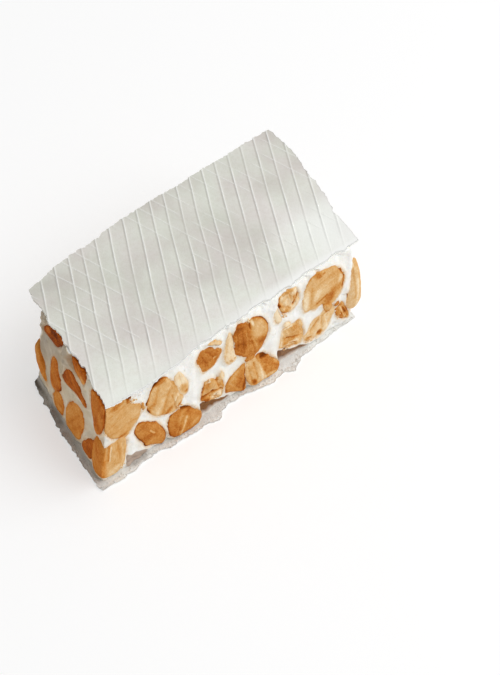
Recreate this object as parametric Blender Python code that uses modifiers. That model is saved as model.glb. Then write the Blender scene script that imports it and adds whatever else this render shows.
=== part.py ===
"""Almond nougat bar: a block of white nougat full of whole and broken almonds, between two
wafers, cut from a slab and lying on its bottom wafer.

X runs along the long front cut, Y from the front cut to the back one, Z up. The origin is on the
table, under the middle of the bar. Sizes are in millimetres from the bar's front left corner,
and metres() turns them into the scene's metres.
"""

import math

import bmesh
import bpy
import numpy as np

MM = 0.001

# The block. The knife cut the ends on a slant, and the sides spread a little towards the foot.
FOOT = {
    "front_left": (-0.8, 0.4),
    "front_right": (111.0, -0.3),
    "back_right": (122.2, 53.0),
    "back_left": (10.8, 49.0),
}
CROWN = {
    "front_left": (0.5, 0.5),
    "front_right": (108.4, -0.4),
    "back_right": (120.3, 52.2),
    "back_left": (12.0, 47.0),
}
PLAN_MIDDLE = (60.4, 26.9)
FOOT_HEIGHT = 1.0
CROWN_HEIGHT = 39.0
MIDDLE_HEIGHT = (FOOT_HEIGHT + CROWN_HEIGHT) / 2
BLOCK_CELLS = (12, 5, 4)
SWELL = 0.35

# The top sinks towards the front edge, where the knife pressed it, and at the back left corner.
EDGE_SINK = 0.8
EDGE_WIDTH = 9.0
CURL_SINK = 1.6
CURL_START = 47.0
RIPPLE = 0.15

# The wafers. Each outline runs from left to right or from front to back.
WAFER_THICKNESS = 0.7
GAP = 0.3
WAFER_CELLS = (16, 7)
TOP_WAFER = {
    "front": [(0.6, 0.3), (10, -0.5), (21, -0.9), (34, -0.4), (62, 0.2), (76, -0.3), (100, -0.5),
              (111.0, -0.3)],
    "back": [(13.6, 54.8), (34, 57), (49, 58), (58, 58.6), (94, 59), (123, 58.5)],
    "left": [(0.6, 0.3), (2.4, 9), (4.3, 13), (6.7, 26), (8.3, 31), (9.6, 41.5), (13.6, 54.8)],
    "right": [(111.0, -0.3), (113.3, 14), (117.2, 24), (122.6, 47.5), (123, 58.5)],
}
BOTTOM_WAFER = {
    "front": [(-2.6, -2.0), (6, -2.4), (18, -1.9), (32, -3.1), (47, -3.1), (54, -1.4), (70, -3.6), (80, -4.8),
              (88, -2.1), (112.5, -0.9)],
    "back": [(9.8, 48.0), (24, 52.5), (60, 54.0), (95, 54.6), (123.0, 54.3)],
    "left": [(-2.6, -2.0), (-0.8, 6.1), (2.2, 19.1), (4.6, 32.1), (6.7, 39.6), (9.8, 48.0)],
    "right": [(112.5, -0.9), (115.2, 14), (119.5, 33), (123.0, 54.3)],
}

# Almonds that a cut went through. Along and up are the middle of the cut in its face, from the
# face's first corner and from the table; the lean of the long way is in degrees from the face's
# direction, towards up; depth is how far the almond reaches into the nougat, proud how far its
# cut stands out of the face, and tip, in degrees, turns its lower end outwards.
FRONT_ALMONDS = [
    # along, up, length, width, lean, depth, proud, tip
    (7.3, 28.6, 20.6, 15.4, 108, 4.4, 0.4, 0),
    (19.5, 11.3, 21.6, 9.4, -57, 4.2, 0.3, 2),
    (23.9, 27.3, 20.6, 13.2, -52, 4.8, 0.6, 0),
    (33.4, 27.4, 14.0, 4.6, -75, 2.4, 0.2, 0),
    (34.4, 6.6, 19.0, 11.4, -46, 4.8, 0.9, 7),
    (44.0, 29.8, 12.8, 10.4, -50, 4.2, 0.1, 0),
    (52.1, 28.4, 16.5, 4.0, 98, 2.4, 0.2, 0),
    (61.8, 29.1, 21.2, 13.8, -60, 5.2, 0.7, 0),
    (46.4, 14.2, 13.4, 9.6, -45, 4.0, 0.2, 0),
    (57.1, 9.3, 12.2, 8.4, -52, 4.0, 0.5, 3),
    (69.4, 7.0, 18.8, 11.2, -48, 4.8, 0.9, 7),
    (79.0, 33.6, 13.2, 10.2, -62, 4.0, 0.1, 0),
    (96.0, 29.6, 22.4, 15.2, -54, 5.6, 0.7, 0),
    (81.8, 14.6, 13.6, 9.8, -45, 4.0, 0.2, 0),
    (93.8, 9.8, 13.2, 9.4, -25, 4.0, 0.2, 0),
    (105.0, 8.8, 12.6, 5.4, -60, 2.8, 0.3, 0),
]
LEFT_ALMONDS = [
    (5.4, 31.0, 19.6, 9.6, 90, 4.0, 0.4, 0),
    (11.2, 7.2, 12.6, 6.6, -57, 3.6, 0.3, 0),
    (20.2, 36.2, 11.4, 7.4, 20, 3.6, -0.3, 0),
    (21.6, 25.6, 17.6, 8.2, -10, 3.8, 0.3, 0),
    (20.9, 11.2, 18.6, 9.6, -67, 4.4, 0.4, 0),
    (36.6, 16.4, 13.6, 6.2, -82, 3.2, 0.2, 0),
    (32.6, 7.0, 9.2, 5.6, -70, 3.0, 0.3, 0),
    (39.3, 33.8, 16.0, 7.2, -38, 3.6, -0.2, 0),
]
RIGHT_ALMONDS = [
    (14.5, 27.5, 20.0, 12.0, -65, 4.6, 0.4, 0),
    (15.5, 8.6, 16.5, 9.0, 20, 4.0, 0.3, 0),
    (28.0, 18.5, 17.5, 11.0, 75, 4.6, 0.5, 0),
    (38.0, 31.0, 18.0, 10.0, -40, 4.2, 0.3, 0),
    (39.5, 8.0, 15.5, 9.5, 10, 4.2, 0.4, 0),
]
BACK_ALMONDS = [
    (12.0, 28.0, 19.5, 13.0, 60, 4.8, 0.5, 0),
    (9.5, 9.0, 14.0, 9.0, 10, 4.0, 0.3, 0),
    (23.5, 11.5, 18.5, 10.5, -40, 4.4, 0.4, 0),
    (28.5, 29.5, 17.0, 12.0, -70, 4.6, 0.4, 0),
    (40.0, 15.5, 19.5, 11.0, 52, 4.6, 0.6, 0),
    (45.5, 32.0, 17.5, 8.5, 12, 4.0, 0.2, 0),
    (55.0, 10.5, 19.0, 11.0, -24, 4.6, 0.4, 0),
    (61.0, 27.5, 17.0, 13.5, 80, 5.0, 0.5, 0),
    (72.5, 15.5, 17.0, 10.5, 64, 4.4, 0.3, 0),
    (77.0, 32.5, 18.5, 9.0, -22, 4.2, 0.3, 0),
    (87.5, 12.5, 19.5, 11.0, -58, 4.6, 0.6, 0),
    (93.5, 30.0, 15.0, 11.5, 35, 4.4, 0.4, 0),
    (100.5, 11.5, 13.5, 8.5, 78, 4.0, 0.3, 0),
]
# Almonds in an upright edge: the middle, the half sizes along X, Y and Z, the lean of the long way
# towards X, in degrees, and how far they may stand out of the two faces that meet there.
EDGE_ALMONDS = [
    # x, y, z, half x, half y, half z, lean, proud
    (3.4, 2.6, 10.6, 6.0, 5.2, 9.2, 8, 0.4),
    (111.4, 3.0, 18.4, 3.2, 4.2, 11.8, 2, 3.4),
    (12.8, 45.0, 14.6, 4.6, 4.6, 6.2, -8, 0.7),
]
ALMOND_SEGMENTS = 10
ALMOND_RINGS = 6
POINTEDNESS = 0.16
CROWN_RISE = 0.15

# Hollows under the front, where the nougat pulled away from the wafer: along, half length, half
# depth and half height.
HOLLOWS = [(13.4, 4.6, 5.0, 7.4), (47.5, 6.0, 6.0, 7.8), (82.5, 6.0, 6.0, 7.8)]


def metres(points):
    """Millimetres from the front left corner as metres from the middle of the plan."""
    shifted = np.array(points, float) - (*PLAN_MIDDLE, 0.0)
    return shifted * MM


def side_line(corner, height):
    """A corner's place at a height: the upright edge is a straight line from foot to crown."""
    share = (height - FOOT_HEIGHT) / (CROWN_HEIGHT - FOOT_HEIGHT)
    return np.array(FOOT[corner]) * (1 - share) + np.array(CROWN[corner]) * share


class Face:
    """A cut side of the block: its first corner at middle height, and the directions along it, up
    it and out of it."""

    def __init__(self, first, last, sign):
        self.first, self.last = first, last
        start, end = side_line(first, MIDDLE_HEIGHT), side_line(last, MIDDLE_HEIGHT)
        self.origin = np.array([*start, MIDDLE_HEIGHT])
        self.along = np.array([*(end - start), 0.0]) / np.linalg.norm(end - start)
        rise = sum((np.array(CROWN[c]) - np.array(FOOT[c])) / 2 for c in (first, last))
        up = np.array([*rise, CROWN_HEIGHT - FOOT_HEIGHT])
        up -= self.along * (up @ self.along)
        self.up = up / np.linalg.norm(up)
        self.out = sign * np.cross(self.along, self.up)

    def at(self, along, up):
        return self.origin + self.along * along + self.up * (up - MIDDLE_HEIGHT)


FACES = {
    "front": Face("front_left", "front_right", 1),
    "right": Face("front_right", "back_right", 1),
    "back": Face("back_right", "back_left", 1),
    "left": Face("front_left", "back_left", -1),
}
# At each corner, the faces that meet there.
CORNERS = {
    "front_left": ("front", "left"),
    "front_right": ("front", "right"),
    "back_right": ("right", "back"),
    "back_left": ("back", "left"),
}


def smooth_step(value):
    value = np.clip(value, 0, 1)
    return value * value * (3 - 2 * value)


def crown_height(x, y):
    """Height of the nougat's top: level, with a slow ripple, sunk at the front edge and at the back
    left corner."""
    front = smooth_step(1 - y / EDGE_WIDTH)
    corner = smooth_step((y - CURL_START) / 9) * smooth_step(1 - (x - 10) / 24)
    ripple = RIPPLE * np.sin(x / 9.0 + 0.6) * np.cos(y / 8.0)
    return CROWN_HEIGHT + ripple - EDGE_SINK * front - CURL_SINK * corner


def swell(along, height):
    """How far a side stands out of its plane: slow waves, as nougat slumps before it sets."""
    short_waves = np.sin(along / 7.0 + 0.8) * np.cos(height / 9.0)
    long_waves = 0.6 * np.sin(along / 15.0 + height / 11.0)
    return SWELL * (short_waves + long_waves)


def new_object(name, mesh, material, collection):
    obj = bpy.data.objects.new(name, mesh)
    obj.data.materials.append(material)
    collection.objects.link(obj)
    return obj


def mesh_from(bm, name):
    if bm.calc_volume(signed=True) < 0:
        bmesh.ops.reverse_faces(bm, faces=bm.faces)
    mesh = bpy.data.meshes.new(name)
    bm.to_mesh(mesh)
    bm.free()
    return mesh


def cut_box(cells):
    """A unit box cut into cells by planes across X, Y and Z."""
    bm = bmesh.new()
    bmesh.ops.create_cube(bm, size=1.0)
    bmesh.ops.translate(bm, verts=bm.verts, vec=(0.5, 0.5, 0.5))
    for axis, count in enumerate(cells):
        normal = [0.0, 0.0, 0.0]
        normal[axis] = 1.0
        for k in range(1, count):
            place = [0.0, 0.0, 0.0]
            place[axis] = k / count
            geometry = bm.verts[:] + bm.edges[:] + bm.faces[:]
            bmesh.ops.bisect_plane(bm, geom=geometry, dist=1e-6, plane_co=place, plane_no=normal)
    return bm


def block_point(a, b, c):
    """A point of the nougat block from its shares a along X, b from front to back and c upwards."""
    height = FOOT_HEIGHT + c * (CROWN_HEIGHT - FOOT_HEIGHT)
    front = side_line("front_left", height) * (1 - a) + side_line("front_right", height) * a
    back = side_line("back_left", height) * (1 - a) + side_line("back_right", height) * a
    x, y = front * (1 - b) + back * b
    inner = math.sin(math.pi * c)
    edge = math.sin(math.pi * a) ** 0.5
    if b in (0.0, 1.0):
        y += (2 * b - 1) * swell(x, height) * inner * edge
    if a in (0.0, 1.0):
        x += (2 * a - 1) * swell(2 * y, height) * inner * math.sin(math.pi * b) ** 0.5
    if c == 1.0:
        height = float(crown_height(x, y))
    return x, y, height


def make_nougat(material, collection):
    """The block of nougat, with slightly uneven sides and top."""
    bm = cut_box(BLOCK_CELLS)
    for vert in bm.verts:
        shares = [round(value, 6) for value in vert.co]
        vert.co = metres(block_point(*shares))
    return new_object("nougat", mesh_from(bm, "nougat"), material, collection)


def along_outline(points, shares):
    """Points at these shares of the way along an open outline."""
    points = np.array(points, float)
    steps = np.linalg.norm(np.diff(points, axis=0), axis=1)
    way = np.concatenate([[0.0], np.cumsum(steps)]) / steps.sum()
    return np.stack([np.interp(shares, way, points[:, k]) for k in range(2)], axis=-1)


def fill_outline(outline, a, b):
    """A point inside four outlines: the sum of the two ways across, less the corners' own."""
    front, back = (along_outline(outline[side], a) for side in ("front", "back"))
    left, right = (along_outline(outline[side], b) for side in ("left", "right"))
    front_corners, back_corners = (np.array(outline[side], float)[[0, -1]] for side in ("front", "back"))
    shares = np.array([1 - a, a])
    across = (1 - b) * front + b * back
    along = (1 - a) * left + a * right
    return across + along - (1 - b) * (shares @ front_corners) - b * (shares @ back_corners)


def make_wafer(name, outline, height_at, material, collection):
    """A sheet of wafer: a grid that fills its outline, given its thickness upwards."""
    bm = bmesh.new()
    bmesh.ops.create_grid(bm, x_segments=WAFER_CELLS[0], y_segments=WAFER_CELLS[1], size=1.0)
    for vert in bm.verts:
        a, b = (vert.co.x + 1) / 2, (vert.co.y + 1) / 2
        x, y = fill_outline(outline, a, b)
        vert.co = metres((x, y, height_at(x, y)))
    obj = new_object(name, mesh_from(bm, name), material, collection)
    if obj.data.polygons[0].normal.z < 0:
        obj.data.flip_normals()
    solid = obj.modifiers.new("thickness", "SOLIDIFY")
    solid.thickness = WAFER_THICKNESS * MM
    solid.offset = 1.0
    return obj


def unit_ball():
    bm = bmesh.new()
    bmesh.ops.create_uvsphere(bm, u_segments=ALMOND_SEGMENTS, v_segments=ALMOND_RINGS, radius=1.0)
    return bm


def mitre(point, corner, face):
    """Keeps a face's almond on its own side of the plane that halves the corner."""
    first, second = CORNERS[corner]
    other = second if face == first else first
    away = [FACES[name].along * (1 if FACES[name].first == corner else -1) for name in (face, other)]
    normal = away[1] - away[0]
    normal /= np.linalg.norm(normal)
    at_corner = np.array([*side_line(corner, point[2]), point[2]])
    past = (point - at_corner) @ normal + GAP / 2
    return point - normal * max(past, 0.0)


def within_wafers(point):
    """Keeps an almond between the two wafers."""
    lowest, highest = FOOT_HEIGHT + 0.05, float(crown_height(point[0], point[1]))
    return np.array([point[0], point[1], min(max(point[2], lowest), highest)])


def cut_almond(face_name, row, grow=0.0):
    """An almond cut by a face: a bowl in the nougat under a nearly flat cut, narrower at one end.
    With grow it is the cutter of its socket, which goes on out of the face."""
    along, up, length, width, lean, depth, proud, tip = row
    face = FACES[face_name]
    turn, tilt = math.radians(lean), math.radians(tip)
    long_way = face.along * math.cos(turn) + face.up * math.sin(turn)
    out = face.out * math.cos(tilt) + face.up * math.sin(tilt)
    long_way -= out * (long_way @ out)
    long_way /= np.linalg.norm(long_way)
    short_way = np.cross(out, long_way)
    middle = face.at(along, up) + face.out * proud
    bm = unit_ball()
    for vert in bm.verts:
        x, y, z = vert.co
        inward = z * (depth + grow) if z < 0 else z * (CROWN_RISE if grow == 0 else depth)
        point = middle + long_way * x * (length / 2 + grow) + out * inward
        point = point + short_way * y * (width / 2 + grow) * (1 - POINTEDNESS * x)
        if grow == 0:
            point = mitre(mitre(point, face.first, face_name), face.last, face_name)
            point = within_wafers(point)
        vert.co = metres(point)
    return bm


def edge_almond(row, grow=0.0):
    """An almond that an upright edge of the bar runs through, cut by both faces."""
    x, y, z, half_x, half_y, half_z, lean, proud = row
    middle = np.array([x, y, z])
    nearest = min(CORNERS, key=lambda corner: np.linalg.norm(side_line(corner, z) - middle[:2]))
    slope = math.tan(math.radians(lean))
    bm = unit_ball()
    for vert in bm.verts:
        offset = np.array(vert.co) * (half_x + grow, half_y + grow, half_z + grow)
        point = middle + offset + (offset[2] * slope, 0, 0)
        if grow == 0:
            for face in [FACES[name] for name in CORNERS[nearest]] * 2:
                past = (point - face.origin) @ face.out - proud
                point = point - face.out * max(past, 0.0)
            point = within_wafers(point)
        vert.co = metres(point)
    return bm


def make_almonds(material, parts, cutters):
    """Every almond that shows, and a cutter for the socket of each."""
    rows = {
        "front": FRONT_ALMONDS,
        "left": LEFT_ALMONDS,
        "right": RIGHT_ALMONDS,
        "back": BACK_ALMONDS,
    }
    shapes = []
    for face_name, almonds in rows.items():
        for number, row in enumerate(almonds, 1):
            name = f"almond_{face_name}_{number:02d}"
            shapes.append((name, cut_almond(face_name, row), cut_almond(face_name, row, GAP)))
    for number, row in enumerate(EDGE_ALMONDS, 1):
        shapes.append((f"almond_edge_{number:02d}", edge_almond(row), edge_almond(row, GAP)))
    for name, almond, socket in shapes:
        new_object(name, mesh_from(almond, name), material, parts)
        socket_mesh = mesh_from(socket, f"socket_{name}")
        hide_cutter(new_object(f"socket_{name}", socket_mesh, material, cutters))


def make_hollows(material, cutters):
    """Cutters for the hollows between the nougat's foot and the bottom wafer."""
    for number, (along, half_length, half_depth, half_height) in enumerate(HOLLOWS, 1):
        bm = unit_ball()
        for vert in bm.verts:
            x, y, z = np.array(vert.co) * (half_length, half_depth, half_height)
            vert.co = metres((along + x - 0.5 * z, y - 0.5, FOOT_HEIGHT - 0.6 + z))
        name = f"hollow_{number}"
        hide_cutter(new_object(name, mesh_from(bm, name), material, cutters))


def hide_cutter(obj):
    obj.hide_render = True
    obj.display_type = "WIRE"


def make_material(name, colour, roughness):
    material = bpy.data.materials.new(name)
    material.use_nodes = True
    shader = material.node_tree.nodes["Principled BSDF"]
    shader.inputs["Base Color"].default_value = (*colour, 1.0)
    shader.inputs["Roughness"].default_value = roughness
    shader.inputs["Metallic"].default_value = 0.0
    return material


for old in list(bpy.data.objects):
    bpy.data.objects.remove(old, do_unlink=True)

nougat_bar = bpy.data.collections.new("nougat_bar")
cutter_shapes = bpy.data.collections.new("cutters")
for made in (nougat_bar, cutter_shapes):
    bpy.context.scene.collection.children.link(made)

white_nougat = make_material("nougat", (0.86, 0.83, 0.76), 0.55)
toasted_almond = make_material("almond", (0.55, 0.27, 0.09), 0.6)
pale_wafer = make_material("wafer", (0.78, 0.77, 0.73), 0.8)

block = make_nougat(white_nougat, nougat_bar)
make_almonds(toasted_almond, nougat_bar, cutter_shapes)
make_hollows(white_nougat, cutter_shapes)
sockets = block.modifiers.new("sockets", "BOOLEAN")
sockets.operation = "DIFFERENCE"
sockets.operand_type = "COLLECTION"
sockets.collection = cutter_shapes
sockets.solver = "EXACT"

make_wafer("wafer_bottom", BOTTOM_WAFER, lambda x, y: 0.0, pale_wafer, nougat_bar)
make_wafer("wafer_top", TOP_WAFER, lambda x, y: crown_height(x, y) + GAP, pale_wafer, nougat_bar)
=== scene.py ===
"""The looks of an almond nougat bar: white nougat full of toasted almonds between two wafers.

Places and sizes are in millimetres from the bar's front left corner at the table: X along the
front cut, Y to the back, Z up. make_piece() puts them into the frame, in metres.
"""

import math

import bpy
import numpy as np
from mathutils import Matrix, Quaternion, Vector


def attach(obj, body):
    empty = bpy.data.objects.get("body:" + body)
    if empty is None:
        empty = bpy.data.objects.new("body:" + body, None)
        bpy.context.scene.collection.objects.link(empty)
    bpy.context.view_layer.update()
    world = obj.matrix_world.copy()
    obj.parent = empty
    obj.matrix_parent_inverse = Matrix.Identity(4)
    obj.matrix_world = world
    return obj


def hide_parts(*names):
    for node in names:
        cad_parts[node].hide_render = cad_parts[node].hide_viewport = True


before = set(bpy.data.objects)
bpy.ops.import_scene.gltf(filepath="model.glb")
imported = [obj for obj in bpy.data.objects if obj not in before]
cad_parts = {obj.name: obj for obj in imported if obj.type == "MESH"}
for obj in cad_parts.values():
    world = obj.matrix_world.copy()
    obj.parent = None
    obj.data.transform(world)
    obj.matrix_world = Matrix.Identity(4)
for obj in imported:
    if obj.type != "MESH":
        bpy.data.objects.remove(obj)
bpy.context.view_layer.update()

# ----------------------------------------------------------------------
# The bottom wafer. A sheet of baked starch wafer, about 1 mm thick and as dull as paper, that the
# hot nougat is poured on. The bar is sawn through it, and its torn margin stands out past the cut.
# ----------------------------------------------------------------------

MM = 0.001
FOOT_LAYER, CROWN_LAYER = 2.0, 37.0


def node_points(name):
    """The points of a CAD node, in the frame's own millimetres."""
    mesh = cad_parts[name].data
    flat = np.empty(len(mesh.vertices) * 3, np.float32)
    mesh.vertices.foreach_get("co", flat)
    return flat.reshape(-1, 3).astype(float) / MM


def block_corners():
    """Foot and crown of the block's four upright edges: in each layer, the points that lie
    furthest out along the plan's diagonals."""
    points = node_points("nougat")
    layers = (points[points[:, 2] < FOOT_LAYER], points[points[:, 2] > CROWN_LAYER])
    diagonals = np.array([(-1, -1), (1, -1), (1, 1), (-1, 1)], float)
    return [np.array([layer[np.argmax(layer[:, :2] @ way)] for way in diagonals]) for layer in layers]


# The knife started just inside the left end of the foot. Everything is measured from there.
KNIFE_START = np.array([0.8, -0.4])
foot_corners, crown_corners = block_corners()
origin = np.array([*(foot_corners[0, :2] + KNIFE_START), 0.0])


def smooth_step(value):
    """0 below 0, 1 above 1, and a smooth rise between."""
    value = np.clip(value, 0.0, 1.0)
    return value * value * (3 - 2 * value)


def lattice_noise(points, size, seed):
    """Smooth noise from -1 to 1: a random value at each corner of a cubic lattice of this size in
    millimetres, blended across each cell."""
    places = np.asarray(points, float) / size + 512.0
    cell = np.floor(places).astype(np.int64)
    part = places - cell
    part = part * part * part * (part * (part * 6 - 15) + 10)
    total = np.zeros(places.shape[:-1])
    for corner in np.ndindex(2, 2, 2):
        key = (cell + corner) * (73856093, 19349663, 83492791)
        mixed = (key[..., 0] ^ key[..., 1] ^ key[..., 2] ^ (seed * 40503 + 977)) & 0xFFFFFFFF
        mixed = ((mixed ^ (mixed >> 15)) * 2246822519) & 0xFFFFFFFF
        mixed = ((mixed ^ (mixed >> 13)) * 3266489917) & 0xFFFFFFFF
        value = (mixed ^ (mixed >> 16)) / 0x7FFFFFFF - 1.0
        weight = np.prod(np.where(corner, part, 1 - part), axis=-1)
        total += value * weight
    return total


def rough(points, size, seed, octaves=3):
    """Noise in layers, each half the size and half the strength of the last."""
    return sum(lattice_noise(points, size / 2**k, seed + 11 * k) / 2**k for k in range(octaves))


def along_outline(points, shares):
    """Points at these shares of the way along an open outline."""
    points = np.array(points, float)
    steps = np.linalg.norm(np.diff(points, axis=0), axis=1)
    way = np.concatenate([[0.0], np.cumsum(steps)]) / steps.sum()
    return np.stack([np.interp(shares, way, points[:, k]) for k in range(2)], axis=-1)


def torn_side(points, shares, across, depth, seed):
    """One side of an outline, moved in and out by fine noise as torn wafer is, but not at its ends."""
    places = along_outline(points, shares)
    flat = np.column_stack([places, np.zeros(len(shares))])
    held = smooth_step(np.minimum(shares, 1 - shares) * 25)
    tear = depth * held * (0.6 * rough(flat, 3.0, seed, 3) + 0.6 * rough(flat, 0.9, seed + 5, 2))
    places[:, across] += tear
    return places


def fill_outline(outline, columns, rows, depth, seed):
    """A grid that fills four torn sides: the sum of the two ways across, less the corners' own."""
    a, b = np.linspace(0, 1, columns), np.linspace(0, 1, rows)
    ways = (("front", a, 1), ("back", a, 1), ("left", b, 0), ("right", b, 0))
    front, back, left, right = (torn_side(outline[name], share, across, depth, seed + k)
                                for k, (name, share, across) in enumerate(ways))
    a, b = a[None, :, None], b[:, None, None]
    across = (1 - b) * front[None] + b * back[None]
    along = (1 - a) * left[:, None] + a * right[:, None]
    corners = (1 - b) * ((1 - a) * front[0] + a * front[-1]) + b * ((1 - a) * back[0] + a * back[-1])
    return across + along - corners


def ring_faces(rows, columns, start=0):
    """Quads between neighbouring closed rings of points."""
    index = start + np.arange(rows * columns).reshape(rows, columns)
    after = np.roll(index, -1, axis=1)
    quads = np.stack([index[:-1], after[:-1], after[1:], index[1:]], axis=-1)
    return quads.reshape(-1, 4)


def new_object(name, data):
    """An object in the scene, at the origin, unturned and unscaled."""
    made = bpy.data.objects.new(name, data)
    bpy.context.scene.collection.objects.link(made)
    return made


def make_piece(name, points, faces, material, replaced, layers=None):
    """A closed, smooth mesh from points in the bar's millimetres and arrays of faces, turned to
    face outwards, with a value for each point in each named layer."""
    mesh = bpy.data.meshes.new(name)
    corners = np.concatenate([block.ravel() for block in faces])
    sizes = np.concatenate([np.full(len(block), block.shape[1]) for block in faces])
    mesh.vertices.add(len(points))
    mesh.vertices.foreach_set("co", ((points + origin) * MM).astype(np.float32).ravel())
    mesh.loops.add(len(corners))
    mesh.loops.foreach_set("vertex_index", corners.astype(np.int32))
    mesh.polygons.add(len(sizes))
    mesh.polygons.foreach_set("loop_start", (np.cumsum(sizes) - sizes).astype(np.int32))
    mesh.polygons.foreach_set("use_smooth", np.ones(len(sizes), bool))
    mesh.update(calc_edges=True)
    thirds = [block[:, [0, k, k + 1]] for block in faces for k in range(1, block.shape[1] - 1)]
    thirds = np.concatenate(thirds)
    if np.linalg.det(points[thirds] - points.mean(axis=0)).sum() < 0:
        mesh.flip_normals()
    for layer, values in (layers or {}).items():
        mesh.attributes.new(layer, "FLOAT", "POINT").data.foreach_set("value", values.astype(np.float32))
    mesh.materials.append(material)
    piece = new_object(name, mesh)
    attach(piece, "root")
    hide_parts(*replaced)
    return piece


def on_plane(x, y):
    """Places at height 0, for noise that is the same through the sheet."""
    return np.stack([x, y, np.zeros_like(x)], axis=-1)


def ridge_lines(x, y, lean, spacing, start, width, seed):
    """Pressed ridges, from 0 to 1: a bell curve across each of a family of parallel lines, which
    lean this many degrees from X and wander a little from side to side."""
    wander = 0.22 * lattice_noise(on_plane(x, y), 14.0, seed)
    across = (x + wander - y / math.tan(math.radians(lean)) - start) / spacing
    off = np.abs(across - np.round(across)) * spacing * math.sin(math.radians(lean))
    return np.exp(-((off / width) ** 2))


RIM_INSETS = (-0.08, 0.05, 0.4, 1.0, 2.0, 3.5, 5.5, 8.0, 12.0)


def make_wafer(name, outline, sheet_at, columns, rows, depth, seed, material):
    """A closed sheet: a grid of its upper side, a rounded rim, and rings that run inwards under it.
    sheet_at gives the heights of the upper and the lower side, the painted light and the painted
    shade at any point. Only the upper side and the rim get the painted light."""
    plan = fill_outline(outline, columns, rows, depth, seed)
    x, y = plan[..., 0], plan[..., 1]
    upper = np.stack([x, y, sheet_at(x, y)[0]], axis=-1).reshape(-1, 3)
    index = np.arange(rows * columns).reshape(rows, columns)
    quads = np.stack([index[:-1, :-1], index[:-1, 1:], index[1:, 1:], index[1:, :-1]], axis=-1)
    loop = np.concatenate([index[0, :-1], index[:-1, -1], index[-1, :0:-1], index[:0:-1, 0]])
    border = upper[loop]
    middle = border.mean(axis=0)
    inwards = (middle - border)[:, :2]
    reach = np.linalg.norm(inwards, axis=1, keepdims=True)
    rings = []
    for inset in RIM_INSETS:
        spot = border[:, :2] + inwards / reach * inset
        top, bottom = sheet_at(spot[:, 0], spot[:, 1])[:2]
        height = (top + bottom) / 2 if inset < 0 else bottom
        rings.append(np.column_stack([spot, height]))
    below = np.concatenate(rings)
    count, start = len(loop), len(upper)
    first = start + np.arange(count)
    rim = np.stack([loop, np.roll(loop, -1), np.roll(first, -1), first], axis=-1)
    under = ring_faces(len(rings), count, start)
    last = first + (len(rings) - 1) * count
    fan = np.stack([last, np.roll(last, -1), np.full(count, start + len(below))], axis=-1)
    pole_point = np.array([[middle[0], middle[1], sheet_at(middle[0], middle[1])[1]]])
    points = np.concatenate([upper, below, pole_point])
    _, _, white, painted_shade_and_mottle = sheet_at(points[:, 0], points[:, 1])
    white[start + 2 * count:] = 0
    make_piece(name, points, [quads.reshape(-1, 4), rim, under, fan], material, [name],
               {"white": white, "painted_shade_and_mottle": painted_shade_and_mottle})


WHITE = (1.0, 1.0, 1.0)


def linear(colour):
    """A colour given as on a screen, 0 to 255, as linear light."""
    share = np.array(colour, float) / 255
    return tuple(np.where(share <= 0.04045, share / 12.92, ((share + 0.055) / 1.055) ** 2.4))


def shader_of(name, roughness):
    """A new material of this roughness, its node tree and its Principled shader."""
    material = bpy.data.materials.new(name)
    material.use_nodes = True
    tree = material.node_tree
    shader = tree.nodes["Principled BSDF"]
    shader.inputs["Roughness"].default_value = roughness
    return material, tree, shader


def feed(tree, node, values):
    """Gives a node's inputs, by name or number, another node's output, a colour or a number."""
    for key, value in values.items():
        if hasattr(value, "is_linked"):
            tree.links.new(value, node.inputs[key])
        else:
            node.inputs[key].default_value = (*value, 1.0) if isinstance(value, tuple) else value


def add_node(tree, kind, output, values, **settings):
    """The named output of a new node with these settings and input values."""
    node = tree.nodes.new("ShaderNode" + kind)
    for name, setting in settings.items():
        setattr(node, name, setting)
    feed(tree, node, values)
    return node.outputs[output]


def noise_node(tree, vector, scale, detail=4.0, roughness=0.55):
    """Noise on the given coordinates; scale is in lumps per metre."""
    values = {"Vector": vector, "Scale": scale, "Detail": detail, "Roughness": roughness}
    return add_node(tree, "TexNoise", "Fac", values)


def ramp_node(tree, factor, stops):
    """Screen colours at places from 0 to 1, blended between."""
    colour = add_node(tree, "ValToRGB", "Color", {"Fac": factor})
    elements = colour.node.color_ramp.elements
    while len(elements) < len(stops):
        elements.new(0.5)
    for element, (place, shade) in zip(elements, stops):
        element.position = place
        element.color = (*linear(shade), 1.0)
    return colour


def mix_node(tree, factor, first, second, blend="MIX"):
    """Two colours blended; the factor is a number or a node's output."""
    return add_node(tree, "Mix", 2, {0: factor, 6: first, 7: second}, data_type="RGBA", blend_type=blend)


def math_node(tree, operation, first, second):
    """Two numbers or outputs put together by an operation."""
    return add_node(tree, "Math", 0, {0: first, 1: second}, operation=operation)


def bump_node(tree, shader, height, distance):
    """Fine relief on the shader's normal, this many metres deep."""
    values = {"Strength": 1.0, "Distance": distance, "Height": height}
    feed(tree, shader, {"Normal": add_node(tree, "Bump", "Normal", values)})


def object_coordinates(tree):
    """The place on the piece, in metres."""
    return add_node(tree, "TexCoord", "Object", {})


def attribute_node(tree, name):
    """A named layer of the mesh, as a number."""
    return add_node(tree, "Attribute", "Fac", {}, attribute_name=name)


# The colour of the painted light and painted highlights on both wafers.
PAINTED_LIGHT_WHITE = (250, 251, 248)
# How fine the wafer's clouds, flecks and bubbles are, in lumps per metre.
WAFER_CLOUDS, WAFER_FLECKS, WAFER_BUBBLES = 60.0, 700.0, 1900.0


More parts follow.
